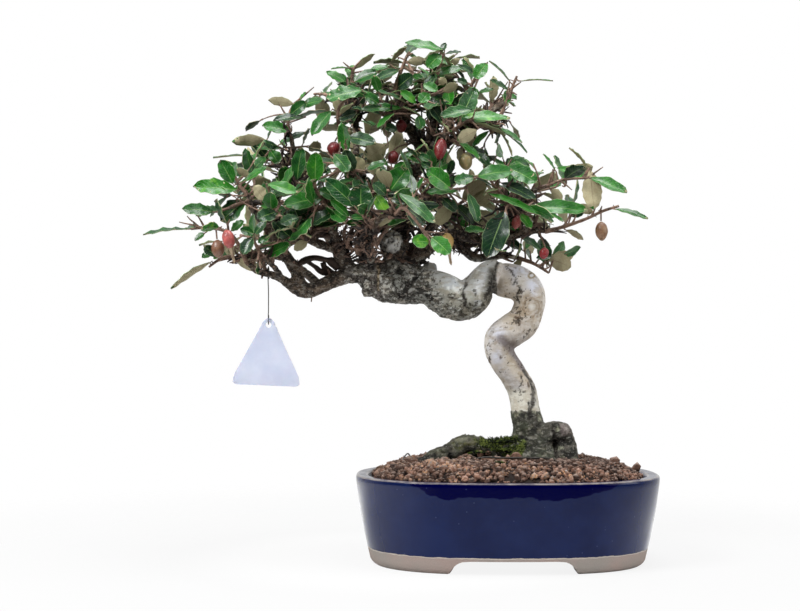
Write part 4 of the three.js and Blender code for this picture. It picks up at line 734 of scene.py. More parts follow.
def in_crown(points):
    """Whether points lie inside the crown's outline in the front view, by counting its crossings."""
    u, v = seen(points)
    outline = np.array(CROWN, float)
    inside = np.zeros(u.shape, bool)
    for (ui, vi), (uj, vj) in zip(outline, np.roll(outline, 1, 0)):
        if vi == vj:
            continue
        meets = ((vi > v) != (vj > v)) & (u < (uj - ui) * (v - vi) / (vj - vi) + ui)
        inside ^= meets
    return inside


def rows_of(leaves):
    """The leaves' values as an array for each key."""
    return {key: np.array([leaf[key] for leaf in leaves]) for key in leaves[0]}


def add_leaves(parts, rows, seed, spans=10):
    """Blades as one surface of share s and ring place t. Half width: sin(pi s)^(0.85 - 0.4s).
    The middle line arches by 0.28 s(1 - s) of the length, the edges rise by a tenth of the width and
    wave by sin(2 pi (n s + start)), and each blade twists a little from base to tip."""
    random = np.random.default_rng(seed)
    count = len(rows["width"])
    axis = rows["tip"] - rows["base"]
    length = np.linalg.norm(axis, axis=1)[:, None, None]
    axis = unit(axis)
    side = unit(np.cross(rows["normal"], axis))
    face = np.cross(axis, side)
    s = np.linspace(0, 1, spans + 1)[None, :, None]
    t = np.array([-1, -0.5, 0, 0.5, 1, 1, 0, -1.0])[None, None]
    upper = np.array([1, 1, 1, 1, 1, -1, -1, -1.0])[None, None]
    width = rows["width"][:, None, None]
    half = 0.5 * width * np.maximum(np.sin(np.pi * s).clip(0, 1) ** (0.85 - 0.4 * s), 0.03)

    def draw(least, most):
        return random.uniform(least, most, (count, 1, 1))

    ripples, first, gap = draw(2.0, 3.6), draw(0, 1), draw(0.2, 0.8)
    start = first + np.where(t > 0, gap, 0)
    wave = draw(0.03, 0.075) * width * t * t * np.sin(2 * np.pi * (ripples * s + start))
    wave = wave * ease(s, 0.05, 0.3)
    notch = 1 + 0.05 * np.sin(2 * np.pi * ((ripples + 1.3) * s + start + 0.4))
    arch = 0.28 * length * s * (1 - s) - 0.03 * length * np.minimum(1, np.minimum(s, 1 - s) / 0.2)
    lift = draw(0.5, 1.4) * 0.1 * width * np.abs(t) * ease(s, -0.1, 0.3)
    thick = 0.18 * upper * (0.4 + 0.6 * np.sin(np.pi * s.clip(0.02, 0.98)))
    rib = np.where(t == 0, np.where(upper > 0, -0.12, -0.22), 0.0)
    turn = draw(-0.35, 0.35) * (s - 0.5)
    along = (rows["base"][:, None, None] + axis[:, None, None] * (s * length)[..., None])
    out = t * half * notch
    rise = lift + wave + thick + rib
    x = out * np.cos(turn) - rise * np.sin(turn)
    z = arch + out * np.sin(turn) + rise * np.cos(turn)
    points = along + side[:, None, None] * x[..., None] + face[:, None, None] * z[..., None]
    walls = shell_faces(spans + 1, 8)
    faces = turned(copies(walls, (spans + 1) * 8, count))
    under = np.zeros((spans, 8), bool)
    under[:, 5:7] = True
    caps = np.zeros(len(walls) - spans * 8, bool)
    slot = np.concatenate([under.ravel(), caps])[None] ^ rows["swap"][:, None]
    u = np.broadcast_to((t + 1) / 2, points.shape[:3])
    uv = np.stack([u, np.broadcast_to(s, points.shape[:3])], -1)
    tint = np.broadcast_to(rows["tint"][:, None, None], points.shape[:3])
    parts.add(points, faces, slot.ravel().astype(int), uv, tint=tint.ravel())


def add_stalks(parts, rows):
    """Leaf stalks: five-sided tubes from the twig into the blade, bent at its base."""
    axis = unit(rows["tip"] - rows["base"])
    first, last = rows["root"], rows["base"] + axis * 1.5
    middle = rows["base"] - axis * np.minimum(1.5, 0.3 * np.linalg.norm(last - first, axis=1))[:, None]
    add_rods(parts, np.stack([first, middle, last], 1), np.array([0.62, 0.48, 0.3]), 5, 2)


def add_rods(parts, paths, radii, sides, slot=0, **values):
    """Many thin tubes with as many points each: rings square to the line between their ends."""
    run = unit(paths[:, -1] - paths[:, 0])
    guide = np.where(np.abs(run[:, 2:]) < 0.8, [[0, 0, 1.0]], [[0, 1.0, 0]])
    across = unit(np.cross(run, guide))
    ring = spokes(across, np.cross(run, across), sides)
    radii = np.broadcast_to(radii, paths.shape[:2])
    points = paths[:, :, None] + radii[..., None, None] * ring[:, None]
    each = paths.shape[1] * sides
    parts.add(points, copies(shell_faces(paths.shape[1], sides), each, len(paths)), slot, **values)


# The pot.
def oval(inset, height, angles):
    """Points of the pot's outline: x and y go by cos and sin to the power 2 / 2.5, with their signs."""
    c, s = np.cos(angles), np.sin(angles)
    x = (HALF_LENGTH - inset) * np.sign(c) * np.abs(c) ** (2 / OVAL_POWER)
    y = (HALF_WIDTH - inset) * np.sign(s) * np.abs(s) ** (2 / OVAL_POWER)
    return np.stack([x, y, np.broadcast_to(height, x.shape)], -1)


def foot_edge(x):
    """The height of the foot's lower edge: nothing at both ends, and raised between the two feet."""
    stations = [0, 24, 28, 30.4, 32.2, 33.6, 34.7, 35.4, 36, 36.4, 37.1, 38]
    heights = [8.1, 8.1, 7.9, 7.6, 6.8, 5.9, 4.8, 3.8, 2.7, 1.6, 0.7, 0]
    return np.interp(np.abs(x), stations, heights)


def recess_wall(height, angles):
    """The wall of the recess below the pot, which leans out as it rises."""
    return oval(20.14 - 0.161 * height, height, angles)


def plate(parts, loop, hole_z):
    """A flat floor inside a loop with two round drain holes: each half runs from its outline to its hole
    in three even steps. Gives the two hole loops."""
    count = len(loop)
    quarter = count // 4
    line = np.linspace(1, -1, 42)[1:-1]
    holes = []
    for sign in (1, -1):
        order = np.arange(-quarter, quarter + 1) if sign > 0 else np.arange(quarter, 3 * quarter + 1)
        half = loop[order % count]
        y = line * abs(loop[quarter][1]) * sign
        cut = np.stack([0 * y, y, 0 * y + loop[0][2]], -1)
        edge = np.concatenate([half, cut])
        centre = np.array([sign * DRAIN_X, 0, hole_z])
        angle = np.arctan2(edge[:, 1], edge[:, 0] - centre[0])
        ring = centre + DRAIN_RADIUS * np.stack([np.cos(angle), np.sin(angle), 0 * angle], -1)
        steps = np.array([0, 0.35, 0.7, 1])[:, None, None]
        rings = edge * (1 - steps) + ring * steps
        parts.add(rings, shell_faces(4, len(edge), caps=False))
        holes.append(ring)
    return holes


def pot_mesh():
    """The pot as one skin: a profile of insets and heights carried round the oval, with its lower edge
    on foot_edge, the recess below, the floor with its holes, and the inside wall."""
    angles = turns(POT_SIDES)
    heights = [0, 0.6, 1.4, 2.4, 17, 34, 50, 52.4, 53.3, 53.8, POT_HEIGHT]
    insets = [11.6, 10.6, 9.8, 8.9, 5.5, 2.3, 0.25, 0.1, 0.35, 0.9, 1.7]
    parts = Parts("lip")
    rings, lip = [], []
    for share in (0, 0.07, 0.16, 0.3, 0.5, 0.75, 1):
        low_edge = oval(np.interp(0, heights, insets), 0, angles)
        for _ in range(3):
            edge = foot_edge(low_edge[:, 0])
            z = edge + (10 - edge) * share
            low_edge = oval(np.interp(z, heights, insets), z, angles)
        rings.append(low_edge)
        lip.append(0)
    for z in (13, 17, 21, 25, 29, 33, 37, 41, 44, 46.5, 48.5, 50, 51.2, 52.2, 52.9, 53.4, 53.8):
        rings.append(oval(np.interp(z, heights, insets), z, angles))
        lip.append(ease(z, 52.6, 53.8))
    top = [(1.7, 54, 0.9), (2.4, 54, 0.25), (4.2, 53.95, 0.05), (6.2, 53.95, 0.3), (7.0, 53.85, 1),
           (7.5, 53.4, 0.8), (7.9, 52.6, 0.3), (9, 50, 0.1), (11.4, 38, 0), (13.2, 26, 0), (14.6, 17.5, 0),
           (15.4, 15.2, 0), (16.6, 14, 0), (18.5, FLOOR_Z, 0)]
    for inset, z, amount in top:
        rings.append(oval(inset, z, angles))
        lip.append(amount)
    rings = np.array(rings)
    wave = 0.12 * bumps(rings * [1, 1, 0.6], 26, 3) + 0.05 * bumps(rings, 7, 4)
    centre_way = unit(rings * [1, 1, 0])
    calm = ease(rings[..., 2:], 1, 9) * ease(54.2 - rings[..., 2:], 0.2, 1.2)
    rings = rings - centre_way * (np.abs(wave[..., None]) + 0.02) * calm
    parts.add(rings, shell_faces(len(rings), POT_SIDES, caps=False), lip=np.repeat(lip, POT_SIDES))
    under = []
    for share in np.linspace(0, 1, 9):
        ring = rings[0] * (1 - share) + oval(20.1, 0, angles) * share
        for _ in range(3):
            ring[:, 2] = foot_edge(ring[:, 0])
            ring = rings[0] * (1 - share) + recess_wall(ring[:, 2], angles) * share
            ring[:, 2] = foot_edge(ring[:, 0])
        under.append(ring)
    wall = [under[-1]]
    for share in (0.5, 1):
        wall.append(recess_wall(under[-1][:, 2] * (1 - share) + FOOT_HEIGHT * share, angles))
    parts.add(np.array(under), shell_faces(len(under), POT_SIDES, caps=False))
    parts.add(np.array(wall), shell_faces(len(wall), POT_SIDES, caps=False))
    below = plate(parts, wall[-1], FOOT_HEIGHT)
    above = plate(parts, rings[-1], FLOOR_Z)
    for first, last in zip(below, above):
        last = last * [0, 0, 1] + first * [1, 1, 0]
        parts.add(np.array([first, last]), shell_faces(2, len(first), caps=False))
    return parts.mesh("pot", sharp=38, merge=True)


# The soil.
def soil_height(share):
    """The soil's level: a mound 11.5 mm high that falls away by the fifth power near the rim."""
    return SOIL_EDGE + SOIL_MOUND * (1 - share**5)


def soil_mesh():
    """The soil as rings: up the pot's wall, and then inwards over the mound with two sizes of bumps."""
    angles = turns(SOIL_SIDES)
    rings = [oval(18.9, 13.9, angles), oval(15, 17.9, angles), oval(SOIL_INSET, 49.5, angles)]
    for share in np.concatenate([[0.985], np.linspace(0.96, 0.03, 34)]):
        ring = oval(0, soil_height(share), angles) * [1 / HALF_LENGTH, 1 / HALF_WIDTH, 1]
        ring = ring * [share * (HALF_LENGTH - SOIL_INSET), share * (HALF_WIDTH - SOIL_INSET), 1]
        calm = ease(1 - share, 0, 0.06)
        ring[:, 2] += calm * (0.9 * bumps(ring, 7, 5) + 0.5 * bumps(ring, 2.6, 6)) - 0.5
        rings.append(ring)
    parts = Parts()
    parts.add(np.array(rings), shell_faces(len(rings), SOIL_SIDES))
    return parts.mesh("soil_bed", sharp=0)


# The corners and faces of a twenty-sided solid.
ICO_POINTS = np.array([
    [0, 0, 1], [0.894, 0, 0.447], [0.276, 0.851, 0.447], [-0.724, 0.526, 0.447],
    [-0.724, -0.526, 0.447], [0.276, -0.851, 0.447], [0.724, 0.526, -0.447], [-0.276, 0.851, -0.447],
    [-0.894, 0, -0.447], [-0.276, -0.851, -0.447], [0.724, -0.526, -0.447], [0, 0, -1]])
ICO_FACES = np.array([
    [0, 1, 2], [0, 2, 3], [0, 3, 4], [0, 4, 5], [0, 5, 1], [1, 6, 2], [2, 7, 3], [3, 8, 4],
    [4, 9, 5], [5, 10, 1], [6, 7, 2], [7, 8, 3], [8, 9, 4], [9, 10, 5], [10, 6, 1], [11, 7, 6],
    [11, 8, 7], [11, 9, 8], [11, 10, 9], [11, 6, 10]])


def spun(random, count):
    """Random turns as 3 by 3 matrices, from quaternions of four normal draws."""
    w, x, y, z = unit(random.normal(size=(count, 4))).T
    return np.stack([
        np.stack([1 - 2 * (y * y + z * z), 2 * (x * y - z * w), 2 * (x * z + y * w)], -1),
        np.stack([2 * (x * y + z * w), 1 - 2 * (x * x + z * z), 2 * (y * z - x * w)], -1),
        np.stack([2 * (x * z - y * w), 2 * (y * z + x * w), 1 - 2 * (x * x + y * y)], -1)], 1)


def crumbs(parts, places, sizes, random, **values):
    """Angular crumbs: twenty-sided solids stretched by three draws and pushed in and out at each corner."""
    count = len(places)
    stretch = random.uniform(0.6, 1.3, (count, 1, 3))
    push = random.uniform(0.68, 1.22, (count, 12, 1))
    local = ICO_POINTS[None] * stretch * push
    turned_points = np.einsum("nij,nkj->nki", spun(random, count), local)
    points = places[:, None] + turned_points * sizes[:, None, None]
    spread = {key: np.repeat(value, 12) for key, value in values.items()}
    # lit is each corner's height in its crumb, for the painted highlight and shade.
    spread["lit"] = turned_points[..., 2] * 0.5 + 0.5
    parts.add(points, copies(np.pad(ICO_FACES, ((0, 0), (0, 1)), constant_values=-1), 12, count), **spread)


def root_cover(points):
    """How far inside the wood's foot points lie, seen from above: 1 inside and 0 well outside."""
    cover = np.zeros(len(points))
    for rows in ROOTS:
        path, radii = curve(*read_path(rows), 3)
        near = (path[:, 2] < 74) & (path[:, 2] > 50)
        if not near.any():
            continue
        gaps = np.linalg.norm(points[:, None, :2] - path[None, near, :2], axis=2) - radii[None, near]
        cover = np.maximum(cover, 1 - ease(gaps.min(1), -1.2, 0.3))
    return cover


# Larger stones on the soil: u, v, depth and size.
STONES = [
    [480, 455, -16, 3.6], [488, 453, -15, 3.4], [517, 457, -24, 3.7], [507, 459, -27, 2.6],
    [614, 463, -3, 3.9], [636, 468, -2, 3.4], [603, 466, -8, 3], [622, 470, -9, 2.8],
    [457, 477, -42, 2.9], [470, 478, -46, 3.1], [532, 478, -44, 2.8], [497, 480, -48, 2.7],
    [392, 468, -14, 2.9], [404, 465, -10, 3.1], [556, 478, -47, 2.7], [588, 477, -34, 2.7],
]


def grain_mesh():
    """Crumbs strewn over the mound clear of the roots, smaller at the right, and the larger stones."""
    random = np.random.default_rng(21)
    count = SOIL_GRAINS
    share = np.sqrt(random.uniform(0, 0.972, count))
    angle = random.uniform(0, 2 * np.pi, count)
    shrink = [(HALF_LENGTH - SOIL_INSET) / HALF_LENGTH, (HALF_WIDTH - SOIL_INSET) / HALF_WIDTH, 1]
    spot = oval(0, 0, angle) * shrink * share[:, None]
    near = np.exp(-((spot[:, 0] - 48) / 46) ** 2 - ((spot[:, 1] + 8) / 30) ** 2)
    size = random.uniform(0.9, 1.95, count) * (1 - 0.4 * near)
    size = size * np.where(random.uniform(size=count) < 0.12, 1.4, 1.0)
    spot[:, 2] = soil_height(share) + 0.35 * size + 0.5 * bumps(spot, 7, 5) - 0.35
    bare = root_cover(spot) < 0.5
    spot, size = spot[bare], size[bare]
    parts = Parts("tint", "lit")
    tint = random.uniform(0, 1, len(spot)) * (1 - 0.6 * near[bare])
    crumbs(parts, spot, size, random, tint=tint)
    crumbs(parts, *read_path(STONES), random, tint=random.uniform(0.35, 0.7, len(STONES)))
    return parts.mesh("soil_grains", sharp=25)


# The wood.
def wood_paths():
    """The paths and radii of the trunk, roots, stubs and branches, with the trunk's sides and bark."""
    low_run, high_run = (curve(*read_path(rows), 5) for rows in (TRUNK_LOW, TRUNK_HIGH))
    paths = [(*low_run, 22, 0.03), (*high_run, 22, 0.045)]
    paths += [(*curve(*read_path(rows), 3), 12, 0.05) for rows in TRUNK_STUBS]
    paths += [(*curve(*read_path(rows), 4), 20, 0.05) for rows in ROOTS]
    for name, rows in BRANCHES.items():
        points, radii = curve(*read_path(rows), 5)
        if name != "stump":
            radii = radii * (1 - 0.22 * ease(radii, 2, 4.5))
        radii = radii * (1 + 0.1 * bumps(points, 5, 9))
        paths.append((points, np.maximum(radii, 1.25), 14, 0.05))
    return paths


# Lines read in the front view: the crease between the trunk's two strands, the line of painted shade
# below the elbow, and the cracks as u, v places with half a width and a depth in millimetres.
CREASE = [[499, 261], [496.5, 267], [495, 275], [494.5, 283], [493.5, 290], [494.5, 296]]
ELBOW_SHADE = [[500, 338], [507, 344], [514, 351], [519, 359], [523, 366]]
CRACKS = [
    ([[520.5, 375], [522.5, 381], [521, 386], [517, 390]], 0.55, 0.5),
    ([[513.5, 391.5], [519, 390.5], [523, 392], [527, 390.5]], 0.5, 0.4),
    ([[524, 371], [528, 376], [532, 383], [534, 391], [533.5, 399], [532, 408], [530, 413]], 1.7, 0.5),
    ([[528.5, 402], [529.5, 407], [528.5, 411], [530, 418], [529, 426]], 0.8, 0.8),
    ([[513, 274], [517, 279], [513.5, 284]], 0.9, 0.3),
    ([[515, 280], [521, 290]], 0.7, 0.4), ([[521, 286], [516.5, 296], [519, 303]], 0.8, 0.5),
    ([[423, 271], [415, 278], [408, 285], [405, 296]], 0.9, 0.6),
    ([[391, 279], [396, 288], [400, 301]], 1.3, 0.9), ([[449, 297], [462, 301], [468, 309]], 0.8, 0.4),
    ([[466, 284], [463, 292], [465, 303], [462, 312]], 1.0, 0.5),
    ([[552, 424], [554, 434], [555, 446], [557, 457]], 1.5, 1.4), ([[556, 441], [567, 441.5]], 0.6, 0.3),
]


def off_line(u, v, line):
    """How far places in the front view are from a line through places, in its own steps."""
    gaps = []
    for (au, av), (bu, bv) in zip(line, line[1:]):
        share = ((u - au) * (bu - au) + (v - av) * (bv - av)) / ((bu - au) ** 2 + (bv - av) ** 2)
        share = share.clip(0, 1)
        gaps.append(np.hypot(u - au - share * (bu - au), v - av - share * (bv - av)))
    return np.min(gaps, 0)


def speckle(points, size, amount, seed):
    """Irregular specks: 1 where small bumps over larger ones rise above 0.8 less the amount."""
    height = bumps(points, size, seed) + 0.6 * bumps(points, size * 2.7, seed + 1)
    return ease(height, 0.8 - amount, 1.0 - amount)


def wood_tone(points, normals):
    """The bark's colour, how rugged it is, its grooves in millimetres and its moss, each worked out from
    where it is. The colour holds painted highlights on upper faces and painted shade on lower faces, in
    hollows and along the crease. Blots are bells, exp(-x^2 - y^2), of places in the front view."""
    u, v = seen(points)
    front = 1 - ease(points[:, 1], 1, 6)
    down, up = -normals[:, 2], normals[:, 2]
    patch = rough(points, 9, 3, 11)
    fine = rough(points, 2.6, 2, 31)
    u, v = u + 0.6 * fine, v + 0.6 * rough(points, 2.6, 2, 37)
    near_knee = ease(u, 463, 467) * ease(v, 255, 257) * (points[:, 1] < 14)
    trunk = ease(u, 383, 392) * np.maximum(ease(v, 257, 263), near_knee)
    smooth = ease(u + 6 * patch + 0.5 * (290 - v), 428, 444) * trunk
    white = ease(u + 2 * patch + 0.45 * (v - 300).clip(0), 494.5, 498.5) * trunk
    foot = ease(v + 1.2 * fine, 410.8, 412.4)
    thick = ease(v, 262, 270) * ease(u, 336, 352) * (1 - trunk)
    colour = np.zeros((len(points), 3)) + rgb(98, 84, 71)[:3]

    def lay(amount, red, green, blue):
        nonlocal colour
        amount = np.clip(amount, 0, 1)[:, None]
        colour = colour * (1 - amount) + np.array(rgb(red, green, blue)[:3]) * amount

    def bell(at_u, at_v, wide, tall, slope=0.0):
        return np.exp(-((u - at_u - slope * (v - at_v)) / wide) ** 2 - ((v - at_v) / tall) ** 2)

    # The boughs, brown, with dark and pale specks and painted shade on their undersides.
    bough = 1 - np.maximum(trunk, thick)
    lay(bough * ease(-patch, 0.0, 0.6) * 0.7, 122, 106, 90)
    lay(bough * speckle(points, 2.4, 0.5, 101), 52, 42, 34)
    lay(bough * speckle(points, 1.3, 0.25, 105) * 0.8, 150, 134, 116)
    lay(bough * ease(down, 0.0, 0.8) * 0.6, 46, 38, 31)
    # The rugged left trunk, grey with deep pits, and lighter on its upper faces as a painted highlight.
    lay(thick, 104, 98, 92)
    rugged = np.maximum(trunk * (1 - smooth), thick)
    lay(trunk * (1 - smooth), 150, 151, 143)
    lay(rugged * ease(patch, 0.2, 0.6) * 0.7, 76, 74, 64)
    lay(rugged * ease(up, 0.1, 0.9) * 0.55, 190, 190, 182)
    lay(rugged * speckle(points, 4.4, 0.5, 111) * 0.9, 30, 27, 23)
    lay(rugged * speckle(points, 3.0, 0.42, 115) * 0.9, 222, 222, 214)
    lay(rugged * bell(410, 296, 10, 8) * 0.75, 34, 31, 26)
    # The smooth grey trunk, with a painted highlight on its upper faces and painted shade on its lower
    # faces, where its dark specks are denser.
    lay(smooth, 164, 164, 153)
    lay(smooth * ease(up, 0.05, 0.8) * 0.8, 184, 186, 186)
    lay(smooth * ease(patch, 0.1, 0.6) * 0.45, 190, 198, 208)
    lay(smooth * ease(down, -0.1, 0.75) * 0.7, 118, 114, 97)
    lay(smooth * speckle(points, 2.6, 0.2 + 0.3 * ease(down, -0.3, 0.6), 121) * 0.6, 84, 80, 66)
    lay(smooth * speckle(points, 1.6, 0.3, 125) * 0.7, 226, 228, 224)
    # A painted highlight along the middle of the left strand.
    lay(smooth * bell(481, 281, 5, 11, -0.45) * 0.8, 218, 221, 226)
    # The pale trunk, with bluish and tan blots, brown flaking, painted shade below the elbow, a ring scar
    # and a knot.
    lay(white, 207, 201, 193)
    lay(white * ease(patch, 0.25, 0.6) * 0.4, 206, 210, 222)
    for blot in ((532, 288, 6, 14), (500, 333, 8, 7), (497, 360, 6, 15), (518, 270, 13, 6)):
        lay(white * front * bell(*blot) * 0.75, 213, 216, 229)
    for blot in ((504, 284, 8, 14), (528, 331, 9, 9), (525, 381, 8, 11), (512, 365, 9, 12)):
        lay(white * front * bell(*blot) * 0.6, 184, 170, 148)
    lay(white * ease(-patch, 0.1, 0.5) * 0.6, 186, 172, 150)
    # Painted shade on the pale trunk's lower faces.
    lay(white * ease(down, 0.2, 0.9) * 0.55, 150, 138, 122)
    inner = bell(518, 318, 6.5, 15)
    amount = (0.9 * inner + 0.8 * bell(534, 388, 4.5, 17) + 0.6 * bell(489, 350, 3.5, 24)
              + 0.6 * bell(530, 334, 8, 8) + 0.85 * bell(517.5, 288, 6.5, 13, 0.2)
              + 0.35 * bell(524, 375, 9, 12) + 0.5 * bell(505, 268, 6, 5))
    lay(white * inner * 0.55, 150, 134, 112)
    lay(white * speckle(points, 2.2, 0.75 * amount - 0.08, 131) * 0.9, 80, 62, 47)
    lay(white * speckle(points, 2.6, 0.12 + 0.4 * amount, 135) * 0.5, 150, 134, 114)
    # Painted shade: a violet-grey band down the inside of the lower bend.
    lay(white * (1 - ease(off_line(u, v, ELBOW_SHADE) + 2 * patch, 1.5, 7)) * 0.85, 112, 104, 108)
    lay(white * bell(515, 344, 4, 9, 0.5) * 0.7, 88, 72, 58)
    ring = np.hypot(u - 531.5, (v - 307) / 1.05)
    ripple = 0.5 + 0.5 * np.cos((ring + 1.2 * fine) * 1.5)
    lay(white * front * ripple * ease(ring, 3, 6) * (1 - ease(ring, 10.5, 13)) * 0.75, 138, 116, 88)
    lay(white * front * (1 - ease(ring, 1.5, 4)) * 0.6, 214, 214, 210)
    knot = np.abs(np.hypot(u - 531.5, v - 275.5) - 2.8)
    lay(white * front * (1 - ease(knot, 0.4, 1.6)) * 0.9, 140, 122, 84)
    band = ease(v, 386, 393) * (1 - foot) * trunk
    lay(band * (1 - 0.8 * bell(533, 392, 3.2, 14)), 202, 199, 187)
    # The foot and the roots, dark and mossy.
    below = foot * ease(u, 400, 410)
    lay(below, 92, 91, 82)
    lay(below * bell(562, 432, 9, 13), 132, 120, 118)
    lay(below * ease(patch, 0, 0.5) * 0.6, 76, 84, 62)
    lay(below * (u < 505) * 0.6, 92, 97, 78)
    lay(below * bell(466, 446, 22, 14) * ease(fine, 0.1, 0.45) * 0.85, 116, 120, 62)
    lay(below * bell(536, 445, 21, 19) * 0.9, 40, 44, 32)
    lay(below * speckle(points, 5.0, 0.45, 141) * 0.9, 22, 24, 18)
    lay(below * speckle(points, 2.8, 0.32, 145) * 0.75, 156, 158, 136)
    # The dead stump's pale, cracked face.
    knob = ease(13 - np.hypot(u - 391, (v - 241) * 0.95), 0, 2.5) * (points[:, 1] < 16)
    lay(knob, 222, 221, 216)
    swirl = np.abs(bumps(points, 4.2, 151) + 0.5 * bumps(points, 2.0, 152))
    lay(knob * (1 - ease(swirl, 0.05, 0.22)) * 0.9, 46, 43, 41)
    lay(knob * speckle(points, 2.2, 0.3, 155) * 0.7, 240, 240, 236)
    # Painted shade in two hollows, a dry straw, painted shade in the crease between the strands and on
    # the strand beside it, and the cracks.
    # Painted shade: near black where the two hollows are.
    hollow_shade = np.maximum(bell(370.5, 264.5, 4.5, 5), 0.8 * bell(405, 262, 9, 5)) * (v > 250)
    lay(hollow_shade * 1.2, 22, 18, 16)
    wide = np.interp(v, [262, 268, 273, 291], [0.7, 1.7, 1.1, 0.7])
    straw = (1 - ease(np.abs(u - 378.2), wide - 0.5, wide + 0.4)) * ease(v, 264, 266) * (v < 291)
    straw = straw * (normals[:, 1] < -0.2) * (points[:, 1] < -6)
    lay(straw, 176, 158, 128)
    groove = 1.1 * (1 - ease(off_line(u, v, CREASE), 0.4, 2.6)) * front
    # Painted shade: the left strand darkens towards the crease, and the crease is a dark line.
    side = front * ease(497 - u, -0.5, 0.5) * ease(v, 262, 272) * trunk
    lay(0.95 * (1 - ease(off_line(u, v, CREASE) + 3 * fine, 4, 13)) * side, 62, 58, 50)
    lay(groove * 0.95, 44, 40, 34)
    for line, half, deep in CRACKS:
        gap = off_line(u, v, line) + 0.9 * fine
        lay(front * (1 - ease(gap, half * 0.6, half * 1.7)) * 0.92, 38, 32, 27)
        groove = np.maximum(groove, deep * front * (1 - ease(gap, half * 0.5, half * 1.5)))
    # How rugged the bark is, its grooves, its moss and how densely dark specks cover it.
    relief = 0.14 + 0.75 * rugged + 0.5 * below * (1 - rugged) + 0.22 * bough + 0.6 * knob
    relief = relief + 0.25 * smooth * ease(down, 0, 0.7) * (1 - white) + 0.2 * white * amount.clip(0, 1)
    relief = relief * (1 - straw)
    groove = groove + 0.6 * rugged * speckle(points, 4.4, 0.5, 111)
    groove = groove + 0.5 * below * speckle(points, 4.0, 0.45, 141)
    groove = groove + 1.1 * knob * (1 - ease(swirl, 0.05, 0.3)) - 0.5 * bell(531, 307, 7, 7) * white * front
    moss = below * ease(rough(points, 6, 2, 51) + 0.9 * up + 0.25, 0.4, 0.95)
    moss = moss * (0.2 + 0.8 * ease(-np.hypot((u - 500) / 26, (v - 446) / 13), -1.3, -0.7))
    # Dark specks are denser on the smooth trunk's lower faces.
    dark_speckling = 0.5 * rugged + smooth * (1 - white) * (0.08 + 0.4 * ease(down, -0.3, 0.6)) + 0.7 * below
    dark_speckling = dark_speckling + white * (0.55 * amount.clip(0, 1) - 0.05) * (1 - 0.6 * band) + (0.4 * bough) * (1 - knob)
    return colour, relief, groove, moss, dark_speckling


def wood_mesh():
    """The wood's tubes melted together in voxels, evened, and then moved along their normals by layers of
    bumps as deep as the bark is rough there."""
    parts = Parts()
    for points, radii, sides, bark in wood_paths():
        add_tube(parts, points, radii, sides, bark)
    rough_wood = bpy.data.objects.new("wood_blank", parts.mesh("wood_blank", sharp=0))
    bpy.context.scene.collection.objects.link(rough_wood)
    melt = rough_wood.modifiers.new("melt", "REMESH")
    melt.mode = "VOXEL"
    melt.voxel_size = MELT_VOXEL
    even = rough_wood.modifiers.new("even", "SMOOTH")
    even.factor = 0.5
    even.iterations = MELT_ROUNDS
    graph = bpy.context.evaluated_depsgraph_get()
    mesh = bpy.data.meshes.new_from_object(rough_wood.evaluated_get(graph))
    bpy.data.objects.remove(rough_wood)
    mesh.name = "wood_skin"
    points = from_points(mesh, "co").astype(float) * 1000 - HOME
    normals = from_points(mesh, "normal").astype(float)
    colour, relief, groove, moss, dark_speckling = wood_tone(points, normals)
    lumps = rough(points, 5.2, 3, 71)
    ridges = 1 - 2 * np.abs(rough(points, 3.1, 2, 81))
    move = relief * (0.85 * lumps + 0.6 * ridges) + 0.25 * bumps(points, 13, 61) - groove - 0.15
    # Painted shade: the bark is darker in the low parts of its bumps, more so where it is rough.
    shade = (0.62 + 0.55 * ease(relief * (lumps + ridges), -0.9, 0.9))[:, None]
    colour = colour * (1 - ease(relief, 0.2, 0.6)[:, None] * (1 - shade))
    points = points + normals * move[:, None]
    mesh.vertices.foreach_set("co", ((points + HOME) / 1000).astype(np.float32).ravel())
    tone = mesh.color_attributes.new("bark", "FLOAT_COLOR", "POINT")
    rgba = np.concatenate([colour, np.ones((len(points), 1))], 1)
    tone.data.foreach_set("color", rgba.astype(np.float32).ravel())
    for name, values in (("moss", moss), ("relief", relief), ("dark_speckling", dark_speckling)):
        hold(mesh, name, values)
    mesh.polygons.foreach_set("use_smooth", np.ones(len(mesh.polygons), bool))
    mesh.update()
    return mesh, points, normals, moss


def spears(parts, places, ways, heights, width, random):
    """Small three-sided spikes from places, leaning by a draw from their ways. tip is 1 at the top."""
    count = len(places)
    ways = unit(ways + random.normal(0, 0.45, (count, 3)))
    across = unit(np.cross(ways, unit(random.normal(size=(count, 3)))))
    ring = places[:, None] + width * spokes(across, np.cross(ways, across), 3)
    top = places + ways * heights[:, None]
    points = np.concatenate([ring, top[:, None]], 1)
    faces = np.array([[0, 1, 3, -1], [1, 2, 3, -1], [2, 0, 3, -1], [0, 2, 1, -1]])
    tip = np.tile([0, 0, 0, 1.0], count) * np.repeat(random.uniform(0.1, 1, count), 4)
    parts.add(points, copies(faces, 4, count), tip=tip)


# Tufts of moss and sprigs: u, v, depth, width and height.
TUFTS = [
    [486, 446, -10, 9, 5], [497, 441, -8, 10, 5], [509, 440, -6, 9, 6], [505, 450, -16, 9, 4],
    [517, 447, -14, 6, 5], [478, 452, -16, 6, 3], [425, 472, -27, 3.2, 2.6], [566, 472, -33, 3.2, 2.6],
    [500, 463, -40, 3, 2], [548, 462, -22, 4, 3], [455, 463, -22, 5, 2.4],
]


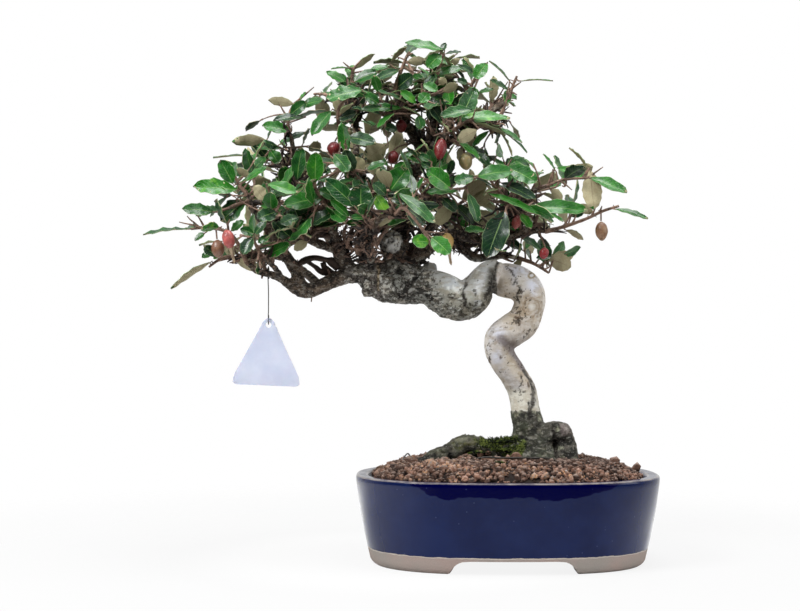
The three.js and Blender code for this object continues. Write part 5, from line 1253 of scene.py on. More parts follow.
def moss_mesh(points, normals, moss):
    """Spears of moss on the wood where its own moss is thick, and tufts round its foot."""
    random = np.random.default_rng(31)
    parts = Parts("tip")
    chosen = np.flatnonzero(moss > 0.4)
    chosen = random.choice(chosen, min(MOSS_SPEARS, len(chosen)), replace=False)
    spears(parts, points[chosen] - 0.3 * normals[chosen], normals[chosen],
           random.uniform(0.5, 1.4, len(chosen)), 0.4, random)
    for centre, (*_, wide, tall) in zip(place_rows(TUFTS), TUFTS):
        number = int(26 * wide)
        spot = centre + random.normal(0, 0.42, (number, 3)) * [wide, wide, 0.22 * tall]
        spot[:, 2] = np.minimum(spot[:, 2], centre[2] + 0.4 * tall) + 1.1 * bumps(spot, 3.4, 19)
        way = unit(np.concatenate([(spot - centre)[:, :2] * 0.12, np.ones((number, 1))], 1))
        spears(parts, spot, way, random.uniform(0.2, 0.5, number) * tall, 0.5, random)
    return parts.mesh("moss_tufts", sharp=0)


# Sprays, twiglets and berries.
def behind_leaves(points, leaves, reach=9.0, gap=2.0):
    """Whether points lie behind, or clear of, the leaves read from the photograph's side."""
    u, v = seen(points)
    rows = rows_of(leaves)
    middles = (rows["base"] + rows["tip"]) / 2
    lu, lv = seen(middles)
    near = np.hypot(u[:, None] - lu, v[:, None] - lv) < reach
    front = points[:, 1][:, None] < middles[:, 1] + gap
    return ~(near & front).any(1)


def inside_box(points):
    """Whether points lie inside the solids' box by the margin or more."""
    margin = 1.5
    low_edge, high_edge = np.array(CAD_BOX) * 1000 - HOME
    return ((points > low_edge + margin) & (points < high_edge - margin)).all(-1)


CROWN_MIDDLE = place(400, 215, 12)


def twiglets(sprays, all_leaves):
    """Bare twiglets off the branches and twigs: each leaves its bearer sideways, up or outwards, and bends
    by a square law. Gives their paths, radii and the spray that each belongs to."""
    random = np.random.default_rng(5)
    found = {}
    for name, spray in sprays.items():
        branch, radii = curve(*read_path(BRANCHES[name]), 3)
        twig, twig_radii = spray["twig"]
        path = np.concatenate([branch, twig[1:]])
        thick = np.concatenate([radii, twig_radii[1:]])
        count = 26 if name.startswith("back") else 16
        at = random.uniform(0.3, 1, count) ** 0.8 * (len(path) - 1.001)
        i = at.astype(int)
        part = (at - i)[:, None]
        root = path[i] * (1 - part) + path[i + 1] * part
        size = thick[i]
        run = unit(path[i + 1] - path[i])
        way = unit(random.normal(size=(count, 3)) + unit(root - CROWN_MIDDLE) * 0.7 + [0, 0.25, 0.35])
        way = unit(way - run * (way * run).sum(1)[:, None] * 0.6)
        length = random.uniform(9, 26, count)
        bend = random.normal(0, 0.22, (count, 3)) + [0, 0, 0.12]
        s = np.linspace(0, 1, 6)[None, :, None]
        paths = root[:, None] + length[:, None, None] * (way[:, None] * s + bend[:, None] * s * s)
        paths = paths + 0.25 * bumps(paths, 3.1, 4)[..., None] * s
        ends = paths[:, [3, 5]]
        good = in_crown(ends).all(1) & inside_box(ends).all(1) & in_crown(root)
        good &= behind_leaves(paths[:, 3], all_leaves) & behind_leaves(paths[:, 5], all_leaves)
        radius = np.minimum(size[good] * 0.75, random.uniform(0.62, 1.1, good.sum()))
        taper = np.linspace(1, 0.45, 6)
        found[name] = (paths[good], radius[:, None] * taper)
    return found


def rule_leaves(paths, all_leaves, random):
    """Small leaves at the ends and sides of twiglets, at the golden angle, facing up and outwards."""
    leaves = []
    for number, path in enumerate(paths):
        run = unit(path[5] - path[4])
        level = unit(np.cross(run, [0.1, 0, 1.0]))
        above = np.cross(level, run)
        stations = ((5, 0.35, 0.95), (4, 0.9, 0.8), (3, 1.1, 0.6), (2, 1.2, 0.4))
        for k, (at, spread, chance) in enumerate(stations):
            if random.uniform() > chance:
                continue
            angle = (number * 4 + k) * GOLDEN_ANGLE
            out = unit(run + spread * (level * math.cos(angle) + above * math.sin(angle)))
            length = random.uniform(10, 23)
            base = path[at] + out * random.uniform(1.5, 3)
            tip = base + out * length - np.array([0, 0, 0.1 * length])
            normal = unit(path[at] - CROWN_MIDDLE) * 0.8 + random.normal(0, 0.45, 3) + [0, 0, 0.5]
            normal = square_to(normal, unit(tip - base))
            leaves.append(leaf_of(path[at], base, tip, normal, length * random.uniform(0.34, 0.5)))
    if not leaves:
        return []
    rows = rows_of(leaves)
    middles = (rows["base"] + rows["tip"]) / 2
    good = in_crown(rows["tip"]) & in_crown(middles) & inside_box(rows["tip"])
    good &= behind_leaves(middles, all_leaves) & behind_leaves(rows["tip"], all_leaves, 7)
    return [leaf for leaf, fits in zip(leaves, good) if fits]


def hides_berry(leaf):
    """Whether a leaf placed by rule lies over one of the berries in the front view."""
    line = leaf["base"] + (leaf["tip"] - leaf["base"]) * np.linspace(0, 1, 5)[:, None]
    u, v = seen(line)
    ends = np.array([[row["stalk"][-1], row["end"]] for row in BERRIES.values()], float).mean(1)
    near = np.hypot(u[:, None] - ends[:, 0], (v[:, None] - ends[:, 1]) / 1.5) < 10
    return (near & (line[:, 1, None] < ends[:, 2] + 2)).any()


def add_berry_stalks(parts, bearer, radius, sides, slot):
    """The stalks of the berries that a spray or the wood bears."""
    for row in BERRIES.values():
        if row["bearer"] == bearer:
            run = place_rows(row["stalk"])
            add_tube(parts, *curve(run, np.full(len(run), radius), 3), sides, slot=slot)


def spray_mesh(name, spray, found, all_leaves, number):
    """A spray's twig, its bare spikes, twiglets, berry stalks and thorns, and its leaves on their stalks."""
    random = np.random.default_rng(900 + number)
    parts = Parts("tint")
    points, radii = curve(*spray["twig"], 4)
    radii = radii * (1 + 0.13 * bumps(points, 2.4, 8))
    add_tube(parts, points, radii, 8, 0.05, slot=2)
    if spray["spikes"]:
        ends = np.array(spray["spikes"])
        paths, s = between(ends[:, 0], ends[:, 1], 5)
        paths = paths + 0.5 * bumps(paths, 6, 3)[..., None] * np.sin(np.pi * s)
        add_rods(parts, paths, np.linspace(0.85, 0.3, 5), 6, 2)
    paths, thick = found[name]
    if len(paths):
        add_rods(parts, paths, thick, 6, 2)
    add_berry_stalks(parts, name, 0.5, 6, 2)
    thorns_at = points[2:-2:2]
    ways = unit(random.normal(size=thorns_at.shape) + [0, 0, 0.4])
    lengths = random.uniform(1.6, 4.4, (len(thorns_at), 1, 1))
    s = np.array([0, 0.5, 1])[None, :, None]
    add_rods(parts, thorns_at[:, None] + ways[:, None] * s * lengths, np.array([0.5, 0.32, 0.1]), 5, 2)
    leaves = [leaf for leaf in spray["leaves"] + rule_leaves(paths, all_leaves, random)
              if not (leaf["rule"] and hides_berry(leaf))]
    for long_ones in (True, False):
        chosen = [leaf for leaf in leaves if (leaf["width"] > 7.5) == long_ones]
        if not chosen:
            continue
        rows = rows_of(chosen)
        rows["tint"] = np.where(rows["tint"] < 0, random.uniform(0, 0.8, len(chosen)), rows["tint"])
        rows["swap"] = rows["rule"] & (rows["normal"][:, 1] > 0)
        rows["swap"] &= random.uniform(size=len(chosen)) < np.interp(rows["tip"][:, 1], [0, 26], [0.9, 0.1])
        add_leaves(parts, rows, 40 + number, 11 if long_ones else 8)
        add_stalks(parts, rows)
    return parts.mesh(f"leaves_{name}", sharp=60)


def berry_mesh(name):
    """A berry as a lathe form: radius follows sin(pi s^0.9)^0.55 down its length with slow swellings, a
    dry collar at its top, and on some a shrivelled tail below."""
    row = BERRIES[name]
    top = place(*row["stalk"][-1])
    bottom = place(*row["end"])
    axis = unit(bottom - top)
    top = top + axis * 0.5
    length = np.linalg.norm(bottom - top)
    s = np.linspace(0.012, 0.988, 19)
    radii = row["radius"] * np.maximum(np.sin(np.pi * s**0.9) ** 0.55, 0.08)
    points = top + axis * (s * length)[:, None]
    rings = tube(points, radii, 20, 0.02)
    centre = points[:, None]
    rings = centre + (rings - centre) * (1 + 0.06 * bumps(rings, 2.2, 2))[..., None]
    parts = Parts()
    parts.add(rings, shell_faces(19, 20), 0)
    collar = np.array([top - axis * 0.1, top + axis * 0.5, top + axis * 1.3])
    add_tube(parts, collar, np.array([0.7, 1.25, 0.9]), 8, 0.1, slot=1)
    if row["tail"]:
        s = np.linspace(-0.12, 1, 7)
        run = bottom + axis * (s * row["tail"])[:, None]
        run = run + 0.25 * bumps(run, 3, 1)[:, None]
        radii = np.interp(s, [-0.12, 0.15, 0.3, 0.8, 1], [1.3, 1.3, 0.75, 0.85, 0.2])
        add_tube(parts, run, radii, 9, 0.12, slot=1)
    return parts.mesh(f"fruit_{name}", sharp=60)


def wood_stalk_mesh():
    """The stalks of the berries that the wood bears, and straws of dead twig on the bare branches."""
    parts = Parts("tint")
    add_berry_stalks(parts, "wood", 0.52, 7, 0)
    random = np.random.default_rng(77)
    starts, ends, size = [], [], []
    for rows in BRANCHES.values():
        path, radii = curve(*read_path(rows), 3)
        at = np.arange(4, len(path) - 2, 2)
        way = unit(random.normal(size=(len(at), 3)) + [0, 0, 0.8])
        starts.append(path[at])
        ends.append(path[at] + way * (0.8 * radii[at, None] + random.uniform(0.8, 3.4, (len(at), 1))))
        size.append(random.uniform(0.5, 1.1, len(at)))
    starts, ends, size = (np.concatenate(x) for x in (starts, ends, size))
    paths, s = between(starts, ends, 4)
    paths = paths + 0.4 * bumps(paths, 4, 6)[..., None] * s
    add_rods(parts, paths, size[:, None] * np.array([1.1, 0.85, 0.7, 0.5]), 6, 0)
    return parts.mesh("twig_stubs", sharp=60)


# Bare shoots and dry sticks read in the front view at the left: u, v, depth and radius.
STICKS = [
    [[366.5, 250, -14, 1.9], [366.7, 229, -20, 1.5], [369.7, 212, -22, 1.3], [373, 203, -22, 1]],
    [[318, 228, -24, 1], [304, 232.5, -24, 1.2], [291, 235.5, -20, 1.3]],
    [[288, 229, -26, 1.1], [286.5, 242, -25, 1.3], [286, 254, -20, 1.3]],
    [[298, 236, -20, 1], [318, 242, -18, 1.5], [333, 246.5, -14, 1.8]],
    [[298, 264, -9, 2.2], [312, 258, -8, 2], [326, 260, -6, 2.3], [338, 268, -4, 3]],
    [[304, 259, -7, 1.5], [314, 267, -6, 2], [330, 274, -4, 2.2], [342, 272, -3, 2.4]],
    [[297, 284, -12, 1.2], [295, 276, -11, 1.3], [298, 266, -10, 1.6], [306, 258, -8, 1.3]],
    [[322, 262, -4, 1.8], [327, 270, -4, 1.8], [336, 276, -3, 2.2]],
    [[346, 247, -15, 1.2], [352, 232, -19, 1.4], [357, 220, -20, 1]],
    [[377, 246, -9, 1.2], [383, 233, -10, 1.3], [392, 224, -12, 1.2], [404, 219, -12, 0.9]],
    [[352, 250, -13, 1.4], [344, 238, -17, 1.1], [347, 224, -19, 0.9]],
    [[362, 256, -11, 2], [357, 243, -13, 1.6], [362, 230, -14, 1.2], [360, 219, -14, 0.9]],
]


def thicket_mesh(leaves):
    """Dead twigs that fill the crown behind its leaves and crowd over the left trunk. Each starts on a
    branch, turns at five places by normal draws, and thins out by (1 - s)^0.7. shade is 1 on the darkest;
    it is a random tone with painted shade that deepens towards the back."""
    random = np.random.default_rng(88)
    rows = [np.concatenate([path, radii[:, None]], 1)
            for path, radii in (curve(*read_path(rows), 5) for rows in BRANCHES.values())]
    spots = np.concatenate(rows)
    u, v = seen(spots)
    crowd = np.exp(-((u - 368) / 42) ** 2 - ((v - 238) / 30) ** 2)
    weight = (0.5 + 1.5 * crowd) * (v < 276) * ((u < 498) | (v > 125))
    weight = weight * np.where((u > 498) & (v > 236), 0.25, 1)
    chosen = random.choice(len(spots), DEAD_TWIGS, p=weight / weight.sum())
    count = len(chosen)
    middle = place(395, 215, 10)
    way = unit(random.normal(size=(count, 3)) + 0.5 * unit(spots[chosen, :3] - middle) + [0, 0.1, 0.3])
    step = random.uniform(0.8, 3.6, (count, 1))
    at = spots[chosen, :3] + way * spots[chosen, 3:] * 0.6
    paths = [at]
    for _ in range(5):
        at = at + way * step
        way = unit(way + random.normal(0, 0.36, (count, 3)))
        paths.append(at)
    paths = np.stack(paths, 1)
    eu, ev = seen(paths[:, 1:])
    in_heap = (np.abs(eu - 382) < 49) & (ev > 215) & (ev < 264)
    before_stump = (np.hypot(eu - 391, ev - 241) < 14) & (paths[:, 1:, 1] < 8)
    good = (in_crown(paths[:, 1:]) | in_heap).all(1) & inside_box(paths[:, 5]) & ~before_stump.any(1)
    for k in (1, 3, 5):
        good &= behind_leaves(paths[:, k], leaves, 8, 1.0)
    paths = paths[good]
    count = len(paths)
    stout = random.uniform(size=(count, 1)) ** 1.5
    thin = (1 - np.linspace(0, 0.93, 6)) ** 0.5
    radii = (0.5 + 1.3 * stout) * thin * random.uniform(0.75, 1.25, (count, 6))
    # Twigs further back are painted darker: painted shade inside the crown, over a random tone.
    deep = ease(paths[:, 3, 1], -16, 6)
    shade = (random.uniform(-0.35, 1.3, count) + 0.7 * deep).clip(0, 1)
    parts = Parts("shade")
    add_rods(parts, paths, radii, 5, shade=np.repeat(shade, 30))
    for number, row in enumerate(STICKS):
        points, radii = curve(*read_path(row), 4)
        radii = radii * (1 + 0.3 * bumps(points, 3.2, 17))
        stray = np.stack([bumps(points, 6, seed) for seed in (18, 19, 20)], -1)
        add_tube(parts, points + 1.1 * stray, radii, 8, 0.14,
                 shade=np.full(len(points) * 8, 0.85 if 4 <= number <= 7 else 0.1))
    return parts.mesh("dead_twigs", sharp=0)


# Wires and the tag.
def wire_mesh(name, rows, radius, loop=False):
    """A round wire along a smooth curve through the rows."""
    rows = np.array(rows, float)
    parts = Parts()
    add_tube(parts, *curve(rows, np.full(len(rows), radius), 7, loop), 10, 0.02, loop)
    return parts.mesh(name, sharp=60)


def tag_wire_rows():
    """A hook round the branch, a straight drop, and an eye through the tag's hole."""
    hang, hole = place(*TAG_HANG), place(*TAG_TOP)[2] - TAG_HOLE_DROP
    reach = 4.1
    angle = np.radians([-50, -8, 34, 76, 118, 160, 200])
    hook = hang + np.stack([0 * angle, reach * np.cos(angle), reach * np.sin(angle)], -1)
    x, y, z = hang
    rest = [[x, y - 2, z - reach - 2], [x, y, z - 12], [x, y - 0.3, hole + 9], [x, y - 1.3, hole + 6],
            [x, y - 1.3, hole + 2], [x, y, hole + 0.3], [x, y + 1.3, hole + 2], [x, y + 1.3, hole + 6]]
    return np.concatenate([hook, rest])


def tag_mesh(tag):
    """A bare plate with three rounded corners: rings run from its hole out over one face, round the
    bevelled edge and back, and follow the outline as seen from the hole."""
    half, height, round_by = tag.width / 2, tag.height, tag.corner
    inner = np.array([[-half, -height], [half, -height], [0, 0]]) + round_by * np.array(
        [[1.62 * 1.05, 1], [-1.62 * 1.05, 1], [0, -1.62]])
    spans = np.array([[math.pi - 0.49, 1.5 * math.pi], [1.5 * math.pi, 2 * math.pi + 0.49],
                      [0.49, math.pi - 0.49]])
    share = np.linspace(0, 1, 24)
    turn = spans[:, :1] * (1 - share) + spans[:, 1:] * share
    bend = inner[:, None] + round_by * np.stack([np.cos(turn), np.sin(turn)], -1)
    outline = bend.reshape(-1, 2)
    runs, _ = between(outline, np.roll(outline, -1, 0), 12)
    outline = runs.reshape(-1, 2) + [0, TAG_HOLE_DROP]
    angle = np.unwrap(np.arctan2(outline[:, 1], outline[:, 0]))
    order = np.argsort(angle % (2 * math.pi))
    count = 144
    want = turns(count)
    reach = np.interp(want, (angle % (2 * math.pi))[order], np.hypot(*outline.T)[order],
                      period=2 * math.pi)
    thick = tag.thickness / 2
    stations = [(0, 0.0, -0.6), (0, 0.45, -1), (0.35, 0, -1), (0.7, 0, -1), (1, -0.35, -1), (1, -0.08, -0.7),
                (1, 0, -0.2), (1, 0, 0.2), (1, -0.08, 0.7), (1, -0.35, 1), (0.7, 0, 1), (0.35, 0, 1),
                (0, 0.45, 1), (0, 0.0, 0.6)]
    rings = []
    for share, extra, side in stations:
        r = TAG_HOLE * (1 - share) + reach * share + extra
        rings.append(np.stack([r * np.cos(want), np.full(count, side * thick), r * np.sin(want)], -1))
    flat = np.array(rings)
    flat[..., 1] += 0.25 * bumps(flat * [1, 0, 1], 22, 12) * ease(-flat[..., 2], 4, 30)
    tilt = math.radians(2.4)
    x = flat[..., 0] * math.cos(tilt) + flat[..., 2] * math.sin(tilt)
    z = -flat[..., 0] * math.sin(tilt) + flat[..., 2] * math.cos(tilt)
    points = np.stack([x, flat[..., 1], z - TAG_HOLE_DROP], -1) + place(*TAG_TOP)
    parts = Parts()
    parts.add(points, shell_faces(len(stations), count, closed_run=True))
    return parts.mesh("tag_plate", sharp=35, merge=True)


# Materials.
def feed(socket, value):
    """Links a flow to a socket, or sets the socket to a plain value."""
    if isinstance(value, Flow):
        value.tree.links.new(value.socket, socket)
    else:
        socket.default_value = value


def node(tree, kind, links=None, **settings):
    """A new node with its settings and what its inputs are fed."""
    made = tree.nodes.new("ShaderNode" + kind)
    for key, value in settings.items():
        setattr(made, key, value)
    for key, value in (links or {}).items():
        feed(made.inputs[key], value)
    return made


class Flow:
    """What a node puts out. Arithmetic on it adds a Math node for each sign."""

    def __init__(self, socket):
        self.socket, self.tree = socket, socket.id_data

    def math(self, operation, a, b=0.0):
        return Flow(node(self.tree, "Math", {0: a, 1: b}, operation=operation).outputs[0])

    def __add__(self, other):
        return self.math("ADD", self, other)

    def __sub__(self, other):
        return self.math("SUBTRACT", self, other)

    def __rsub__(self, other):
        return self.math("SUBTRACT", other, self)

    def __mul__(self, other):
        return self.math("MULTIPLY", self, other)

    def __truediv__(self, other):
        return self.math("DIVIDE", self, other)

    def __rtruediv__(self, other):
        return self.math("DIVIDE", other, self)

    def __pow__(self, other):
        return self.math("POWER", self, other)

    def __gt__(self, other):
        return self.math("GREATER_THAN", self, other)

    def __abs__(self):
        return self.math("ABSOLUTE", self)

    def held(self):
        """The same flow kept between 0 and 1."""
        self.socket.node.use_clamp = True
        return self

    def step(self, low_end, high_end):
        """0 below the low end, 1 above the high end, smooth between."""
        return Flow(node(self.tree, "MapRange", {"Value": self, "From Min": low_end, "From Max": high_end},
                         interpolation_type="SMOOTHSTEP").outputs[0])

    def spread(self, first, last):
        """The first value where the flow is 0, the last where it is 1, and straight between."""
        return Flow(node(self.tree, "MapRange", {"Value": self, "To Min": first, "To Max": last}).outputs[0])

    def axes(self):
        made = node(self.tree, "SeparateXYZ", {0: self})
        return [Flow(out) for out in made.outputs]


def coat(below, amount, above, blend="MIX"):
    """A colour with an amount, from 0 to 1, of another over it."""
    made = node(amount.tree, "Mix", {0: amount, 6: below, 7: above}, data_type="RGBA", blend_type=blend)
    return Flow(made.outputs[2])


def rgb(red, green, blue):
    """A colour given as screen values from 0 to 255."""
    parts = [c / 255 for c in (red, green, blue)]
    return tuple(c / 12.92 if c <= 0.04045 else ((c + 0.055) / 1.055) ** 2.4 for c in parts) + (1.0,)


def ramp(value, *stops):
    """A colour that runs through the stops, each a value from 0 to 1 and a colour."""
    made = node(value.tree, "ValToRGB", {0: value})
    band = made.color_ramp
    while len(band.elements) < len(stops):
        band.elements.new(0.5)
    for element, (at, colour) in zip(band.elements, stops):
        element.position = at
        element.color = colour
    return Flow(made.outputs[0])


class Group:
    """A new shader node group. Its given values come in as flows."""

    def __init__(self, name, given, outputs):
        self.tree = bpy.data.node_groups.new(name, "ShaderNodeTree")
        for key, value in given.items():
            kind = "Vector" if value is None else "Float"
            socket = self.tree.interface.new_socket(key, in_out="INPUT", socket_type=f"NodeSocket{kind}")
            if value is not None:
                socket.default_value = value
        for key in outputs:
            self.tree.interface.new_socket(key, in_out="OUTPUT", socket_type="NodeSocketFloat")
        sockets = self.tree.nodes.new("NodeGroupInput").outputs
        self.given = [Flow(sockets[key]) for key in given]
        self.out = self.tree.nodes.new("NodeGroupOutput")

    def give(self, *flows):
        for socket, flow in zip(self.out.inputs, flows):
            feed(socket, flow)


def mottle_group():
    """Soft patches and fine grain, each from 0 to 1, with sizes in millimetres."""
    group = Group("Mottle", {"Place": None, "Patch size": 8.0, "Grain size": 0.6}, ["Patch", "Grain"])
    place_given, *sizes = group.given
    clouds = [node(group.tree, "TexNoise", {"Vector": place_given, "Scale": 1.0 / size, "Detail": detail,
                                            "Roughness": 0.6}) for size, detail in zip(sizes, (3.0, 2.0))]
    group.give(*(Flow(cloud.outputs[0]).step(0.3, 0.7) for cloud in clouds))


def speck_group():
    """Round specks, one to a cell of the size in millimetres: 1 within the share of it, else 0. Cell is a
    value from 0 to 1 for each."""
    group = Group("Specks", {"Place": None, "Cell size": 1.5, "Share": 0.2}, ["Speck", "Cell"])
    place_given, size, share = group.given
    cells = node(group.tree, "TexVoronoi", {"Vector": place_given, "Scale": 1.0 / size}).outputs
    speck = node(group.tree, "MapRange", {"Value": Flow(cells["Distance"]), "From Min": share * 1.6,
                                          "From Max": share})
    tone = node(group.tree, "SeparateColor", {0: Flow(cells["Color"])})
    group.give(Flow(speck.outputs[0]), Flow(tone.outputs[0]))


def vein_group():
    """A leaf's midrib, side veins and margin, each from 0 to 1, from its own u across and v along."""
    group = Group("Veins", {"Across": 0.5, "Along": 0.5}, ["Rib", "Vein", "Margin"])
    across, along = group.given
    off = abs(across - 0.5)
    slope = along * 9.0 - off * 4.5
    saw = abs(slope.math("FRACT", slope) - 0.5)
    rib = (off / (0.034 - along * 0.026)).step(0.5, 1.3)
    group.give(1.0 - rib, saw.step(0.4, 0.5), off.step(0.468, 0.495))


class Paint:
    """A new material with its tree and its shader."""

    def __init__(self, name):
        self.made = bpy.data.materials.new(name)
        self.made.use_nodes = True
        self.tree = self.made.node_tree
        self.shader = self.tree.nodes["Principled BSDF"]

    def place(self, stretch=(1, 1, 1)):
        """Object coordinates in millimetres, stretched."""
        here = Flow(node(self.tree, "TexCoord").outputs["Object"])
        made = node(self.tree, "Mapping", {"Vector": here, "Scale": tuple(1000.0 * k for k in stretch)})
        return Flow(made.outputs[0])

    def read(self, name, out="Fac"):
        """What the mesh holds at each point under a name."""
        return Flow(node(self.tree, "Attribute", attribute_name=name).outputs[out])

    def use(self, name, *values):
        """What a node group puts out for its values, in order."""
        made = node(self.tree, "Group", dict(enumerate(values)), node_tree=bpy.data.node_groups[name])
        return [Flow(out) for out in made.outputs]

    def finish(self, colour, roughness, height=None, depth=0.0001, strength=1.0, **fixed):
        """Feeds the shader a colour, a roughness, a bump of the depth in metres and other values."""
        feed(self.shader.inputs["Base Color"], colour)
        feed(self.shader.inputs["Roughness"], roughness)
        for key, value in fixed.items():
            feed(self.shader.inputs[key.replace("_", " ")], value)
        if height is not None:
            bump = node(self.tree, "Bump", {"Height": height, "Distance": depth, "Strength": strength})
            feed(self.shader.inputs["Normal"], Flow(bump.outputs[0]))
        return self.made


def glaze_material(pot):
    """Deep blue glaze over bare clay, with a darker band below the middle of the rim that is a painted
    reflection, with little coat there, pale pits, a worn lip and a pale seam where the glaze ends."""
    paint = Paint("blue_glaze_on_clay")
    here = paint.place()
    x, _, height = here.axes()
    broad, _ = paint.use("Mottle", here, 26.0, 1.1)
    small, grit = paint.use("Mottle", paint.place((1, 1, 2.2)), 7.0, 0.35)
    pit, cell = paint.use("Specks", here, 4.5, 0.07)
    edge, rim = pot.glaze_line * 1000, pot.band_line * 1000
    level = height + (small - 0.5) * 0.5
    glazed = level.step(edge - 0.15, edge + 0.15)
    body = coat(tuple(pot.glaze), broad, tuple(pot.glaze_light))
    off = abs(x - float(HOME[0]))
    # The band's dark blue is a painted reflection below the rim, and its coat is nearly taken off.
    band = (height + broad * 3.6 - off.step(34.0, 70.0) * 9.0 + small).step(rim - 0.25, rim + 0.35)
    body = coat(body, band, tuple(pot.band))
    body = coat(body, pit * (cell > 0.7) * 0.2, rgb(90, 100, 140))
    lip = (paint.read("lip").step(0.25, 0.95) * (small + 0.35)).held()
    body = coat(body, lip, rgb(116, 110, 108))
    clay = coat(tuple(pot.clay), broad, rgb(160, 143, 136))
    clay = coat(clay, grit * 0.4, rgb(112, 104, 97))
    seam = (level.step(edge - 0.75, edge - 0.3) - glazed).held()
    clay = coat(clay, seam * 0.75, rgb(196, 188, 176))
    relief = broad * 0.6 + glazed * 1.4 + grit * (1.0 - glazed) * 0.7
    gleam = (band.spread(0.2, 0.01) + off.step(40.0, 100.0) * 0.6) * glazed
    rough_all = coat((0.82, 0.82, 0.82, 1), glazed, small.spread(0.09, 0.2))
    return paint.finish(coat(clay, glazed, body), rough_all, relief, 0.00022, 0.7, Coat_Weight=gleam,
                        Coat_Roughness=0.13, Specular_IOR_Level=0.02)


def crumb_material(name, dark, *stops):
    """Soil: a tone for each crumb from its tint, dark damp patches, painted shade on each crumb's lower
    side and a pale painted highlight on its top.
    """
    paint = Paint(name)
    here = paint.place()
    patch, grain = paint.use("Mottle", here, 1.6, 0.3)
    damp, _ = paint.use("Mottle", here, 14.0, 2.0)
    lit = paint.read("lit")
    colour = ramp(paint.read("tint") + (patch - 0.5) * 0.3, *stops)
    colour = coat(colour, damp.step(0.2, 0.9) * 0.7, dark)
    colour = coat(colour, grain * 0.3, rgb(60, 44, 38))
    # Painted shade on each crumb's lower side.
    colour = coat(colour, (0.85 - lit.step(-0.2, 0.75)).held(), dark)
    # A pale painted highlight on each crumb's top.
    colour = coat(colour, lit.step(0.7, 1.1) * 0.45, rgb(202, 180, 166))
    return paint.finish(colour, 0.92, grain, 0.0003, 0.8, Specular_IOR_Level=0.25)


def soil_materials():
    """The bed, dark as painted shade in the gaps between the crumbs, and the crumbs, from near black
    through brown to a few pale or orange ones.
    """
    bed = crumb_material("soil_bed_dark", rgb(32, 25, 22), (0.0, rgb(48, 37, 32)), (1.0, rgb(84, 64, 54)))
    grains = crumb_material(
        "baked_soil_crumbs", rgb(44, 32, 28), (0.0, rgb(48, 38, 34)), (0.2, rgb(80, 59, 49)),
        (0.5, rgb(122, 90, 74)), (0.72, rgb(142, 104, 86)), (0.84, rgb(162, 136, 122)),
        (0.92, rgb(196, 138, 82)), (1.0, rgb(140, 134, 130)))
    return bed, grains


def bark_material(wood):
    """Bark: the tone painted on the wood from its place, under fine specks, scales and moss."""
    paint = Paint("olive_bark")
    here = paint.place()
    relief, dark_speckling = paint.read("relief"), paint.read("dark_speckling")
    patch, grain = paint.use("Mottle", here, 3.0, 0.55)
    dot, cell = paint.use("Specks", paint.place((1, 1, 1.4)), 1.1, 0.2)
    speck_patch, speck = paint.use("Mottle", here, 5.4, 2.1)
    aside = node(paint.tree, "Mapping", {"Vector": here, "Location": (37.0, 11.0, 5.0),
                                         "Rotation": (0.0, 0.35, 0.0), "Scale": (0.55, 0.9, 1.15)})
    fleck_patch, fleck = paint.use("Mottle", Flow(aside.outputs[0]), 4.0, 1.9)
    mossy = dark_speckling.step(0.52, 0.66)
    colour = coat(paint.read("bark", "Color"), patch * 0.14, tuple(wood.shade))
    pale = (fleck * 0.6 + fleck_patch * 0.4).step(0.52, 0.8) * (relief.step(0.2, 0.8) + 0.15)
    colour = coat(colour, pale.held() * (1.0 - mossy * 0.7) * 0.75, rgb(216, 215, 206))
    colour = coat(colour, fleck_patch.step(0.35, 0.9) * 0.75, (0.74, 0.68, 0.6, 1), "MULTIPLY")
    level = speck * 0.6 + speck_patch * 0.4 + dark_speckling * 0.6
    colour = coat(colour, level.step(0.74, 0.92) * (0.85 - mossy * 0.25), (0.15, 0.13, 0.11, 1), "MULTIPLY")
    colour = coat(colour, dot * (cell > 0.85) * 0.35, rgb(206, 202, 192))
    colour = coat(colour, paint.read("moss").step(0.15, 0.75), coat(rgb(30, 36, 18), grain, tuple(wood.moss)))
    return paint.finish(colour, 0.78, (grain * 0.8 + patch) * (relief + 0.12), 0.0007, 0.9,
                        Specular_IOR_Level=0.35)


def twig_material(wood):
    """Young twigs: patches of two browns with pale dots, dark where shade is 1, which on the dead
    twigs is partly painted shade.
    """
    paint = Paint("young_twig")
    here = paint.place()
    patch, grain = paint.use("Mottle", here, 4.0, 0.5)
    dot, _ = paint.use("Specks", here, 1.2, 0.17)
    colour = coat(tuple(wood.twig), patch, tuple(wood.twig_dark))
    colour = coat(colour, grain * 0.3, rgb(74, 62, 54))
    colour = coat(colour, dot * 0.6, rgb(176, 158, 140))
    colour = coat(colour, paint.read("shade") * 0.94, rgb(22, 17, 15))
    return paint.finish(colour, 0.72, grain, 0.0002, 0.7, Specular_IOR_Level=0.35)


def leaf_start(name):
    """A leaf's material with its place, its tint and its rib, veins and margin."""
    paint = Paint(name)
    across, along, _ = Flow(node(paint.tree, "UVMap", uv_map="UVMap").outputs[0]).axes()
    return paint, paint.place(), paint.read("tint"), paint.use("Veins", across, along)


